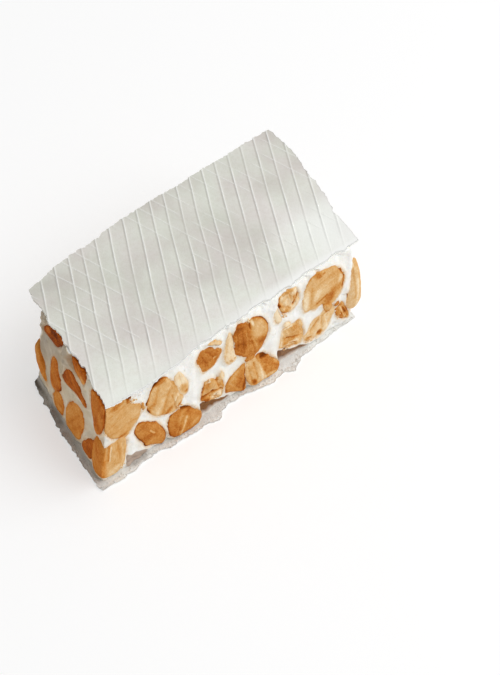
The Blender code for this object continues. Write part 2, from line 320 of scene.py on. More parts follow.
def wafer_material(name, pale, dull, painted_shade_and_mottle, fleck, grain_depth):
    """Dry starch wafer: off-white with faint clouds where the baking plate was hotter, and a fine
    grain of closed bubbles. Painted shade, with some random mottle, darkens it where its shade layer
    says so, and painted light and painted highlights whiten it where its white layer does."""
    material, tree, shader = shader_of(name, 0.85)
    place = object_coordinates(tree)
    cloud = ramp_node(tree, noise_node(tree, place, WAFER_CLOUDS), [(0.36, pale), (0.64, dull)])
    speck = noise_node(tree, place, WAFER_FLECKS, 4.0, 0.7)
    shade = ramp_node(tree, speck, [(0.34, fleck), (0.6, (255, 255, 255))])
    colour = mix_node(tree, 1.0, cloud, shade, "MULTIPLY")
    # Painted shade, with random mottle on the top wafer, from the sheet's shade layer.
    greyer = mix_node(tree, attribute_node(tree, "painted_shade_and_mottle"), WHITE, linear(painted_shade_and_mottle))
    colour = mix_node(tree, 1.0, colour, greyer, "MULTIPLY")
    # Painted light and painted highlights from the sheet's white layer.
    colour = mix_node(tree, attribute_node(tree, "white"), colour, linear(PAINTED_LIGHT_WHITE))
    feed(tree, shader, {"Base Color": colour, "Specular IOR Level": 0.2})
    bump_node(tree, shader, noise_node(tree, place, WAFER_BUBBLES, 4.0, 0.6), grain_depth)
    return material


# The sheet's outline, from left to right or from front to back.
BOTTOM_WAFER = {
    "front": [(-2.2, -1.8), (1.5, -1.9), (3.4, -2.4), (7.5, -2.2), (11.6, -2.3), (14.2, -1.6), (18.2, -1.1),
        (21.9, -1.3), (24.4, -1.9), (26.5, -3.0), (29.8, -2.8), (33.6, -3.1), (39.7, -3.3), (42.2, -2.9),
        (44, -3.9), (46.3, -4.1), (47.7, -3.5), (49.7, -2.1), (52.6, -1.2), (57, -1.7), (59.6, -1.7),
        (61.6, -2.5), (64.4, -3.0), (67.5, -3.6), (69.8, -4.1), (72.2, -3.5), (76.7, -2.9), (79.1, -4.4),
        (80.3, -5.1), (81.7, -4.3), (85.5, -2.2), (92.8, -1.5), (103, -1.1), (112.5, -0.9)],
    "back": [(9.4, 48.0), (17, 50.6), (24, 52.4), (38, 53.6), (60, 54.0), (81, 54.8), (95, 54.4),
        (123.0, 54.3)],
    "left": [(-2.2, -1.8), (-2.2, 2.5), (-1.6, 5.3), (-0.7, 9.7), (-0.4, 12.8), (0.6, 16.3), (1.4, 19.9),
        (2.0, 22.9), (2.3, 26.0), (3.5, 29.3), (4.5, 33.3), (5.6, 35.7), (5.6, 38.6), (6.9, 40.2),
        (7.4, 43.8), (9.4, 48.0)],
    "right": [(112.5, -0.9), (113.6, 6), (115.2, 14), (117.6, 24), (119.5, 33), (121.2, 44), (123.0, 54.3)],
}
BOTTOM_THICKNESS = 0.75
MARGIN = 3.5
CURL_UP = 0.55
THINNEST = 0.25
# How far apart the plate's pressed lines are, and how many degrees they lean from X.
EMBOSS_SPACING = 5.95
EMBOSS_LEAN = 59.2
# Slope of the block's left end in the plan, and where it starts.
END_SLOPE, END_START = 0.225, -0.8


def past_edge(outline, x, y):
    """How far behind the outline's front edge a point lies."""
    return y - np.interp(x, *np.transpose(outline["front"]))


def bottom_sheet(x, y):
    """The bottom wafer lies flat, thins out in its crumbling margin and lifts there in places. It
    carries painted shade along the left, darker towards the back, and in the front's first hollow,
    and painted light on its torn front edge and towards the right front."""
    x, y = np.asarray(x, float), np.asarray(y, float)
    flat = on_plane(x, y)
    end = END_SLOPE * y + END_START
    inside = np.minimum(y - 0.2, x - end)
    margin = smooth_step(-inside / MARGIN)
    lift = CURL_UP * margin * smooth_step(0.5 + 1.2 * lattice_noise(flat, 11.0, 71))
    fray = margin * (0.2 * rough(flat, 1.3, 72, 3) + 0.1 * lattice_noise(flat, 0.7, 75))
    fray = fray + 0.1 * rough(flat, 2.2, 76, 2) * smooth_step(0.5 - inside / 3)
    ridge = 0.12 * ridge_lines(x, y, EMBOSS_LEAN, EMBOSS_SPACING, 1.5, 0.35, 73)
    thickness = BOTTOM_THICKNESS - 0.25 * margin
    # Painted shade: in the front's first hollow, and along the left margin, darker towards the back.
    hollow_floor_shade = np.exp(-(((x - 14.5) / 4.5) ** 2)) * smooth_step((y + 1.6) / 1.4)
    darker = 0.15 + 0.2 * smooth_step(y / 8) + 0.65 * smooth_step((y - 12) / 32)
    painted_shade_and_mottle = np.maximum(smooth_step((end + 1.8 - x) / 2.4) * darker, 0.5 * hollow_floor_shade)
    painted_shade_and_mottle = painted_shade_and_mottle * (0.85 + 0.3 * lattice_noise(flat, 2.4, 74))
    # Painted light: whiter towards the right front and along the torn front edge.
    white = 0.9 * smooth_step((x - 48) / 36) * smooth_step(1 - y / 3)
    torn = past_edge(BOTTOM_WAFER, x, y) + 0.4 * lattice_noise(flat, 0.9, 77)
    white = np.maximum(white, smooth_step(1.2 - torn / 0.7) * smooth_step(x / 2))
    top = lift + np.maximum(thickness + fray + ridge * (1 - margin), THINNEST)
    return top, lift, white, np.clip(painted_shade_and_mottle, 0, 1)


# The grey-brown below is the colour of the bottom wafer's painted shade.
bottom_wafer_finish = wafer_material("torn_wafer", pale=(246, 244, 240), dull=(231, 228, 222),
                                     painted_shade_and_mottle=(120, 113, 105), fleck=(254, 253, 251), grain_depth=0.0005)
make_wafer("wafer_bottom", BOTTOM_WAFER, bottom_sheet, columns=360, rows=150, depth=0.45, seed=21,
           material=bottom_wafer_finish)

# ----------------------------------------------------------------------
# The nougat. Honey and sugar boiled and whipped with egg white: dense, white and a little sticky.
# The saw drags it over the almonds in lips, and it breaks away from the bottom wafer in hollows.
# ----------------------------------------------------------------------

SIDES = ("front", "right", "back", "left")
MIDDLE_HEIGHT = 20.0
FOOT_HEIGHT = 1.0
CROWN_HEIGHT = 39.0
EDGE_SINK = 0.8
EDGE_WIDTH = 9.0
CURL_SINK = 1.6
CURL_START = 47.0


def crown_height(x, y):
    """Height of the nougat's top: level with a slow ripple, sunk at the front edge, where the saw
    pressed it, and at the back left corner."""
    front = smooth_step(1 - y / EDGE_WIDTH) * (1 - 0.65 * smooth_step((x - 24) / 26))
    corner = smooth_step((y - CURL_START) / 9) * smooth_step(1 - (x - 10) / 24)
    ripple = 0.15 * np.sin(x / 9.0 + 0.6) * np.cos(y / 8.0)
    return CROWN_HEIGHT + ripple - EDGE_SINK * front - CURL_SINK * corner


def upright_edges(height):
    """Plan places of the four upright edges at these heights, straight from foot to crown."""
    share = (np.asarray(height, float)[..., None, None] - FOOT_HEIGHT) / (CROWN_HEIGHT - FOOT_HEIGHT)
    foot = foot_corners[:, :2] - origin[:2]
    crown = crown_corners[:, :2] - origin[:2]
    return foot * (1 - share) + crown * share


class Side:
    """A cut side of the block: its first corner at middle height, and the ways along it, up it
    and out of it. The left end is measured from the front, as the other end is."""

    def __init__(self, name):
        pair = [SIDES.index(name), (SIDES.index(name) + 1) % 4]
        ends = upright_edges(MIDDLE_HEIGHT)[pair]
        rise = (upright_edges(CROWN_HEIGHT) - upright_edges(FOOT_HEIGHT))[pair].mean(axis=0)
        start, end = ends if name != "left" else ends[::-1]
        self.length = np.linalg.norm(end - start)
        self.origin = np.array([*start, MIDDLE_HEIGHT])
        self.along = np.array([*(end - start), 0.0]) / self.length
        up = np.array([*rise, CROWN_HEIGHT - FOOT_HEIGHT])
        up -= self.along * (up @ self.along)
        self.up = up / np.linalg.norm(up)
        self.out = np.cross(self.along, self.up) * (-1 if name == "left" else 1)


sides = {name: Side(name) for name in SIDES}


def closed_curve(points, steps=10):
    """A smooth closed line through a few points: between each two, the cubic whose slope at a point
    is half the way between its neighbours."""
    points = np.array(points, float)
    t = np.linspace(0, 1, steps, endpoint=False)[:, None, None]
    before, after, beyond = (np.roll(points, shift, axis=0) for shift in (1, -1, -2))
    slope, next_slope = (after - before) / 2, (beyond - points) / 2
    bend = 3 * (after - points) - 2 * slope - next_slope
    close = 2 * (points - after) + slope + next_slope
    curve = points + slope * t + bend * t**2 + close * t**3
    return curve.transpose(1, 0, 2).reshape(-1, 2)


def oval(along, up, length, width, lean, point=0.1):
    """Eight points of an oval whose long way leans this many degrees, narrower at one end."""
    turn = np.radians(np.arange(0, 360, 45))
    ahead, aside = np.cos(turn) * length / 2, np.sin(turn) * width / 2 * (1 - point * np.cos(turn))
    cos, sin = math.cos(math.radians(lean)), math.sin(math.radians(lean))
    return list(zip(along + ahead * cos - aside * sin, up + ahead * sin + aside * cos))


class Cut:
    """The outline of an almond in a side, through a few points given along and up the side, and the
    plane of its cut: this far out of the side, and tipped by this many degrees."""

    def __init__(self, side, outline, level, seed, tip=0.0, lean=None):
        self.side, self.home, self.seed = sides[side], SIDES.index(side), seed
        curve = closed_curve(outline)
        self.centre = (curve.min(axis=0) + curve.max(axis=0)) / 2
        off = curve - self.centre
        turn = np.arctan2(off[:, 1], off[:, 0])
        order = np.argsort(turn)
        self.turns, self.radii = turn[order], np.hypot(off[:, 0], off[:, 1])[order]
        ways = np.linalg.eigh(np.cov(off.T))[1][:, 1]
        self.lean = math.atan2(ways[1], ways[0]) if lean is None else math.radians(lean)
        tilt = math.radians(tip)
        self.along = self.side.along
        self.out = self.side.out * math.cos(tilt) + self.side.up * math.sin(tilt)
        self.up = self.side.up * math.cos(tilt) - self.side.out * math.sin(tilt)
        height = self.centre[1] - MIDDLE_HEIGHT
        self.middle = (self.side.origin + self.side.along * self.centre[0] + self.side.up * height
                       + self.side.out * level)

    def radius(self, turn):
        """Distance from the middle to the edge in a direction, in radians from along towards up."""
        radius = np.interp(turn, self.turns, self.radii, period=2 * np.pi)
        ring = np.stack([np.cos(turn) * 3, np.sin(turn) * 3, np.zeros_like(turn) + self.seed], axis=-1)
        return radius * (1 + 0.012 * lattice_noise(ring, 1.2, 5) + 0.014 * lattice_noise(ring, 0.35, 6))

    def measure(self, points):
        """Along, up and out of the cut's middle, and how far outside the edge, for each point."""
        off = points - self.middle
        along, up, out = off @ self.along, off @ self.up, off @ self.out
        beyond = np.hypot(along, up) - self.radius(np.arctan2(up, along))
        return along, up, out, beyond


def outlined(*outline, raised=0.0, **angles):
    """A cut as the points of its outline, how far it is raised, and its tip or lean in degrees."""
    return outline, raised, angles


# How much of the CAD solid's stand-out a cut keeps, in each side.
STAND_OUT = {"front": 0.5, "right": 0.7, "back": 0.7, "left": 0.75}
CAP_RISE = 0.1
# Outlines of the cuts, from left to right or from front to back, as places along the side and up.
FRONT_CUTS = [
    outlined((0, 37.5), (-0.1, 31), (0.4, 27), (1.5, 24.5), (3, 21.6), (5, 20), (7.5, 18.1), (8.6, 17.4),
        (9.8, 17.9), (11.8, 20), (14.2, 22.2), (15.4, 25), (15.7, 28.6), (14.9, 30.8), (12.4, 32.6),
        (10.9, 35.6), (10.2, 38.2), (8.5, 39), (4, 39), (1.3, 38.9), lean=14),
    outlined((12.6, 16.9), (12.8, 19.2), (13.9, 20.4), (15.4, 20.6), (17.3, 19.6), (19.7, 17.8), (22, 15.6),
        (23.6, 13.4), (25, 10.5), (26.1, 7.7), (26.7, 4.8), (26.5, 2.2), (25.6, 0.9), (24.5, 1.0),
        (22.7, 2.5), (20.7, 3.9), (19.1, 4.5), (17.6, 5.4), (16.6, 7.6), (15.2, 10.5), (13.8, 13.3)),
    outlined((17.3, 28), (18.3, 30.4), (19, 32.4), (19.9, 34.2), (21, 35.6), (22.3, 36.3), (24.2, 36.1),
        (26.3, 34.9), (28.4, 32.6), (30, 29.6), (31.4, 26.4), (32.8, 22.6), (33.4, 19.6), (32.8, 16.8),
        (31, 14.9), (29.2, 14.4), (27.2, 15.1), (25.2, 16.2), (23.2, 17.2), (21.4, 18.5), (19.8, 20.8),
        (18.3, 23.6), (17.5, 26)),
    outlined((29.2, 32.3), (30.2, 34), (31.5, 33.8), (32.8, 31.6), (34.2, 28.6), (35.3, 25.9), (35.6, 22.8),
        (34.9, 20.4), (33.2, 20.2), (31.4, 22.6), (30.2, 26.2), (29.2, 29.9), raised=0.35),
    outlined((27.4, 12.2), (28.8, 13.2), (31.2, 14), (34, 13.8), (36.2, 12.8), (38.2, 10.6), (40.2, 8),
        (41.6, 5.4), (41.8, 2.8), (40.2, 1.1), (36.5, 1), (32.6, 1.4), (29.2, 2), (27.6, 3.9), (27, 6.6),
        (26.9, 9.6), tip=10, raised=0.3),
    outlined((38.5, 33.6), (39.1, 35.8), (40.6, 36.9), (42.6, 36.6), (45, 35.2), (47.4, 33.4), (49.4, 31.4),
        (50.2, 29.6), (49.6, 28), (48.4, 26.4), (46.8, 24.8), (44.6, 24), (42.6, 24.1), (41.4, 25.3),
        (40.6, 27.6), (39.5, 30.3), (38.6, 32)),
    outlined((52.3, 36.7), (53.4, 36.3), (54.1, 34), (54.7, 31), (55.1, 28), (55.6, 25.5), (56.2, 22.6),
        (56.9, 20.5), (55.3, 20.1), (52.9, 20.8), (51.6, 22.7), (50.9, 25.6), (50.7, 28.5), (51.2, 31.4),
        (51.7, 34.1), raised=0.15),
    outlined((53.9, 34.6), (54.4, 36.4), (55.2, 37.6), (56.8, 37.9), (58.8, 37.4), (60.8, 37.2),
        (63.3, 37.3), (65.6, 36.1), (67.6, 33.9), (69.2, 31.2), (70.1, 28.6), (70.5, 26), (70.3, 23.6),
        (69.4, 21.4), (68.1, 18.9), (66.7, 17.2), (64.8, 16.4), (62.9, 16.6), (60.1, 19), (57.5, 21.6),
        (56.2, 22.8), (55.5, 24.6), (55.2, 28), (54.6, 32), raised=0.2),
    outlined((41.3, 12.3), (41.2, 15.2), (41.9, 17.6), (43.1, 19.1), (44.8, 19.1), (46.7, 18), (48.4, 17.6),
        (49.8, 18.6), (50.8, 17.4), (51.1, 15), (51.8, 11.7), (51.5, 8.8), (50.9, 6), (49.2, 5.7),
        (47.4, 6.2), (45.4, 7), (43.2, 8.6), (41.7, 10.2), raised=0.1),
    outlined((51.9, 8), (52.5, 10.4), (54, 12.1), (55.3, 13.1), (57, 13.9), (58.7, 15), (60.2, 15.6),
        (61.4, 14), (61.4, 9.7), (61.8, 4.4), (61.6, 1.9), (60.8, 1.1), (59.2, 1.7), (56.9, 3.2),
        (54.4, 4.8), (52.6, 5.8), tip=3),
    outlined((61.1, 13.4), (62, 15.4), (64.6, 15.5), (67.2, 15.1), (69.4, 14.3), (70.9, 13), (72.9, 10.4),
        (75, 7.6), (76.5, 5), (76.9, 2.8), (75.4, 1.2), (72.4, 1.1), (68.6, 1.3), (65.2, 1.5), (63.6, 2.2),
        (62.2, 4.2), (61.3, 7), (60.9, 10.5), tip=10, raised=0.3),
    outlined((74, 34.8), (74.2, 36.7), (74.8, 38.4), (76.2, 39.2), (78.4, 39.4), (80.6, 38.9), (82.4, 37.6),
        (83.8, 35.2), (84.2, 33), (84.1, 30.9), (83.3, 29.2), (82.1, 27.7), (80.7, 26.9), (79.3, 27.1),
        (77.7, 27.8), (76.2, 29.6), (74.9, 32.4)),
    outlined((85.5, 31), (85.8, 33.6), (86.5, 35.6), (87.8, 37.2), (89.6, 38.2), (91.6, 38.5), (93.8, 38.1),
        (96, 37.4), (97.8, 37.4), (99.5, 36.8), (101.2, 35.4), (103, 32.9), (104.6, 29.6), (105.3, 26.8),
        (105.2, 24.2), (104.8, 21.9), (103.8, 20.2), (102.2, 18.4), (100.2, 16.9), (98.8, 16.9), (97, 18.6),
        (95.1, 20), (93.4, 19.9), (91.6, 19.8), (89.5, 20.9), (87.9, 21), (86.6, 22.8), (85.7, 26.7),
        raised=0.2),
    outlined((76.4, 12), (76.6, 14.4), (76.9, 17), (77.2, 19.6), (78.4, 20.8), (80.4, 20.4), (82.8, 19.9),
        (84.8, 20.3), (86.1, 18.2), (87.1, 15.5), (88, 12), (88.3, 9.5), (87.9, 7.7), (87.1, 6.2),
        (85.3, 6.2), (82.6, 7.4), (79.4, 8.7), (77.2, 10), raised=0.1),
    outlined((87.3, 8.4), (89.1, 9.4), (90, 11.4), (91.4, 13.4), (93.3, 14.7), (95.2, 15.4), (97, 16.7),
        (99, 16.9), (101, 15.6), (102.6, 12.8), (101.4, 9.8), (100.4, 7.4), (99.7, 5.6), (98.7, 4.1),
        (97.4, 3.2), (95.5, 3.2), (93.5, 3.4), (91.5, 3.5), (89.5, 4.3), (87.9, 6), raised=0.1),
    outlined((102.2, 11.6), (103.1, 14), (104.8, 14.6), (106.4, 12.6), (108.1, 9), (109.5, 4.8),
        (109.8, 2.4), (107.8, 3.1), (105, 5.2), (103.2, 7.4), (102.4, 9.6), raised=0.1),
]
LEFT_CUTS = [
    outlined((9.7, 38), (7.6, 39.8), (4.9, 40), (2, 40), (0, 39.2), (-0.3, 36), (-0.2, 33), (0.3, 29.7),
        (1.5, 25.4), (3.2, 22.4), (5.2, 20.8), (6.8, 22.6), (8.2, 26.2), (9.4, 29.7), (10, 33.6)),
    outlined((6, 15.4), (8.2, 15), (10.6, 12.6), (12.8, 9.6), (14.4, 6.4), (14.8, 4), (13.4, 2.9),
        (11, 2.8), (8.8, 3.4), (7, 6.2), (6.2, 10.2)),
    outlined((14.2, 37), (15.4, 39.6), (20, 40), (23.8, 39.6), (25, 37.6), (24.6, 35.6), (23, 33.6),
        (20.6, 32.8), (18.4, 33), (16.4, 32.6), (15, 34.4)),
    outlined((12.4, 25.6), (13.6, 28), (16.6, 29.8), (19.8, 31.4), (22.6, 31.9), (25, 31.8), (27, 30.2),
        (28.6, 27.6), (30, 24), (30.4, 22.6), (28.2, 21.6), (24.6, 22.6), (21, 24), (18, 24.7), (15, 24.5),
        lean=-12),
    outlined((27, 8), (26.7, 11), (25, 15), (22.2, 18.6), (18.8, 21), (15.8, 20.8), (13.9, 18.7),
        (13.3, 15.2), (14.4, 9.7), (16, 5.4), (18.6, 3), (22.3, 2.2), (26, 2), (27.1, 4.6)),
    outlined((39.4, 19.6), (38.2, 24), (36.2, 25.8), (34.2, 24.4), (32.4, 21.6), (31, 18.4), (30.4, 15.2),
        (32, 12.2), (34.9, 9.5), (38, 9.3), (39.4, 13.4)),
    outlined((36.6, 7), (34.6, 10.4), (31.6, 12.4), (29.6, 12), (28.2, 9.7), (27.8, 6.2), (29, 3.4),
        (30.8, 2.4), (33.9, 2), (36.2, 3.8)),
    outlined((30.4, 38.6), (31.4, 40), (34.9, 39.8), (37.9, 38.4), (40.9, 36.2), (43.4, 33.9), (45.2, 31.4),
        (45.2, 29.6), (42, 29.6), (38.5, 30.4), (35.2, 31.2), (33, 33.6), (31.2, 36.4)),
]
RIGHT_CUTS = [outlined(*oval(*row)) for row in ((14.5, 27.5, 20.4, 12.4, -65), (15.5, 8.6, 17, 9.4, 20),
    (28, 18.5, 18, 10.4, 75, 0.2), (38, 31, 18.4, 10.4, -40, -0.15), (39.5, 8, 16, 8.8, 10, 0.2))]
BACK_CUTS = [outlined(*oval(*row)) for row in ((12, 28, 20, 12.8, 60), (9.5, 9, 14.4, 9.4, 10, 0.2),
    (23.5, 11.5, 19, 10.8, -40), (28.5, 29.5, 17.6, 11.6, -70, 0.2), (40, 15.5, 20, 11.4, 52),
    (45.5, 32, 18, 9, 12, -0.2), (55, 10.5, 19.4, 10.8, -24, 0.2), (61, 27.5, 17.4, 13.8, 80),
    (72.5, 15.5, 17.4, 10.4, 64, 0.15), (77, 32.5, 19, 9.4, -22), (87.5, 12.5, 20, 11.4, -58),
    (93.5, 30, 15.4, 11.4, 35, 0.2), (100.5, 11.5, 14, 8.8, 78))]
cuts = {}
for side, rows in (("front", FRONT_CUTS), ("left", LEFT_CUTS), ("right", RIGHT_CUTS), ("back", BACK_CUTS)):
    for number, (outline, raised, angles) in enumerate(rows, 1):
        node = f"almond_{side}_{number:02d}"
        reach = ((node_points(node) - origin - sides[side].origin) @ sides[side].out).max()
        level = min(reach, 1.0) * STAND_OUT[side] - CAP_RISE + raised
        cuts[node] = Cut(side, outline, level, number + 40 * SIDES.index(side), **angles)

# Broken bits of almond in the front, each as its outline, its stand-out and its toast.
CHIPS = [
    ([(29.8, 21.4), (31.4, 22.6), (33.2, 20.6), (33.4, 18.6), (32, 17.6), (30.4, 16.4), (29.6, 18.4)], 0.5,
     0.3),
    ([(43, 38.2), (44.6, 39), (46.3, 38.5), (48.4, 36.6), (49.5, 34.6), (48.6, 34), (46.6, 35.6),
     (44.4, 37.2)], 0.42, 0.2),
    ([(60.4, 17.6), (61.5, 19.1), (63.6, 17.8), (65.2, 16.6), (64.6, 15), (62.6, 15), (60.8, 15.6)], 0.45,
     0.52),
    ([(72.2, 33), (73.6, 34.2), (74.4, 31.8), (75.4, 29), (76.4, 26.4), (75.4, 24.9), (73.8, 26),
     (72.6, 29)], 0.45, 0.06),
    ([(95.6, 19.6), (97.6, 20), (99.6, 18.4), (100.2, 16.6), (99.6, 14.4), (98, 14), (96.4, 16.2)], 0.65,
     0.52),
    ([(101, 15.9), (102, 16.9), (103.3, 16), (103.7, 14.4), (102.9, 13.8), (101.7, 14.4)], 0.72, 0.6),
    ([(107, 16), (108.2, 16.6), (109.3, 12.6), (109.3, 9.4), (108.4, 10), (107.4, 12.6)], 0.5, 0.74),
    ([(77.3, 21.4), (78.2, 23.2), (80.2, 22), (80.6, 20.6), (78.8, 20)], 0.5, 0.04),
    ([(48.7, 17.4), (49.7, 19.8), (50.8, 18.4), (51.3, 15.8), (50.2, 15.2)], 0.75, 0.08),
    ([(9, 38.4), (9.9, 39.2), (10.9, 37.8), (10.7, 36.4), (9.6, 37)], 0.62, 0.9),
    ([(15.5, 30.4), (16.6, 29.4), (17, 26.8), (16.2, 26), (15.5, 28)], 0.5, 0.5),
]
CHIP_SEED = 300
chips = [Cut("front", outline, level, CHIP_SEED + k) for k, (outline, level, _) in enumerate(CHIPS)]

# Almonds in an upright edge: middle, half sizes, how far the top leans to X and Y for each unit of
# height, how far they may stand out of the two sides, how square they are, and those sides.
EDGE_ALMONDS = {
    "almond_edge_01": ((4.2, 3.0, 10.9), (5.4, 4.6, 9.0), (0.1, 0.0), 0.45, 3.2, ("front", "left")),
    "almond_edge_02": ((111.0, 1.2, 17.8), (4.2, 3.4, 11.6), (0.06, 0.1), 3.2, 1.7, ("front", "right")),
    "almond_edge_03": ((12.6, 44.6, 12.4), (4.0, 3.6, 7.6), (0.1, 0.55), 0.9, 2.4, ("back", "left")),
}
# Hollows at the foot of the front, where the nougat broke away from the wafer: first and last place
# along, height of the roof at each, depth at the first, and the painted brown shade on wall and floor.
HOLLOWS = [(10.0, 21.0, 7.8, 2.6, 1.6, 0.68, 0.68), (41.2, 58.5, 9.8, 1.2, 3.0, 1.0, 0.15),
           (76.2, 93.0, 10.2, 1.8, 2.8, 0.95, 0.15)]
# Smooth pillars of nougat between the almonds of the front: place along at the foot and at the
# crown, and half width.
PILLARS = [(39.5, 35.6, 1.9), (74.4, 71.2, 1.9), (107.4, 107.2, 1.7), (11.2, 14.6, 1.2)]
# Small pits in the front, most of them under the top wafer's edge: place along, height, half width.
PITS = [(15.2, 36.8, 0.9), (18.6, 37.4, 1.0), (20.4, 37.9, 0.7), (38.5, 38.8, 1.0), (51.5, 38.6, 0.9),
        (56.6, 38.9, 1.3), (66.8, 39.0, 1.5), (87.0, 38.8, 1.0), (91.5, 39.0, 0.9), (101.9, 38.9, 1.5),
        (103.9, 2.9, 1.1), (9.5, 15.4, 0.9), (106.6, 16.8, 0.8), (73.6, 20.2, 0.6), (33.0, 32.4, 0.5),
        (14.2, 34.6, 0.6), (68.2, 19.0, 0.7), (35.2, 17.0, 0.6)]
# Lumps of nougat squeezed out of the left end: place from the front, height, half width, stand-out.
LUMPS = [(27.8, 36.6, 3.2, 2.8), (12.4, 37.0, 2.8, 1.5), (45.6, 36.4, 4.2, 1.9), (47.0, 31.0, 3.0, 1.0),
         (28.4, 32.4, 2.8, 1.3), (44.0, 24.8, 2.6, 0.5), (24.6, 37.4, 2.0, 1.2)]
CORNER_REACH = 2.2
SOCKET_SINK = 1.0
SOCKET_INSET = 0.55
EDGE_SOCKET_SINK = 1.4
HOLD_REACH = 0.9
STAIN_REACH = 0.6
LIP_HEIGHT = 0.3
PILLAR_RISE = 0.6
PIT_DEPTH = 1.1
FOOT_BEVEL = 0.35
# How far the nougat has sunk between the almonds.
WEB_SINK = {"front": 0.3, "left": 0.75}
# Width of the wall's faces in the two detailed sides and in the other two.
FINE_STEP = 0.335
PLAIN_STEP = 0.52
FAR = 50.0


def wall_grid(heights):
    """Plan places and outward ways all round the block at these heights. Each corner is rounded by
    a parabola that leaves one side and joins the next."""
    edges = upright_edges(heights)
    places, outward, labels, alongs = [], [], [], []
    for number, name in enumerate(SIDES):
        start, end = edges[:, number], edges[:, (number + 1) % 4]
        before, after = edges[:, number - 1], edges[:, (number + 2) % 4]
        step = FINE_STEP if name in ("front", "left") else PLAIN_STEP
        count = int(round(sides[name].length / step))
        share = (np.arange(count) / count)[None, :, None]
        length = np.linalg.norm(end - start, axis=-1)[:, None, None]
        lines = (start - before, end - start, after - end)
        last_way, way, next_way = (line[:, None] / np.linalg.norm(line, axis=-1)[:, None, None]
                                   for line in lines)
        along = share * length
        spot = start[:, None] + way * along
        tangent = way + 0 * spot
        turns = ((start, along, last_way, way), (end, along - length, way, next_way))
        for corner, past, enter, leave in turns:
            part = np.clip((past + CORNER_REACH) / (2 * CORNER_REACH), 0, 1)
            rounded = corner[:, None] + CORNER_REACH * (part**2 * leave - (1 - part) ** 2 * enter)
            near = np.abs(past) < CORNER_REACH
            spot = np.where(near, rounded, spot)
            tangent = np.where(near, (1 - part) * enter + part * leave, tangent)
        tangent = tangent / np.linalg.norm(tangent, axis=-1, keepdims=True)
        places.append(spot)
        outward.append(np.stack([tangent[..., 1], -tangent[..., 0]], axis=-1))
        labels.append(np.full(count, number))
        alongs.append(np.broadcast_to(along[..., 0], spot.shape[:2]))
    places, outward, alongs = (np.concatenate(parts, axis=1) for parts in (places, outward, alongs))
    return places, outward, np.concatenate(labels), alongs


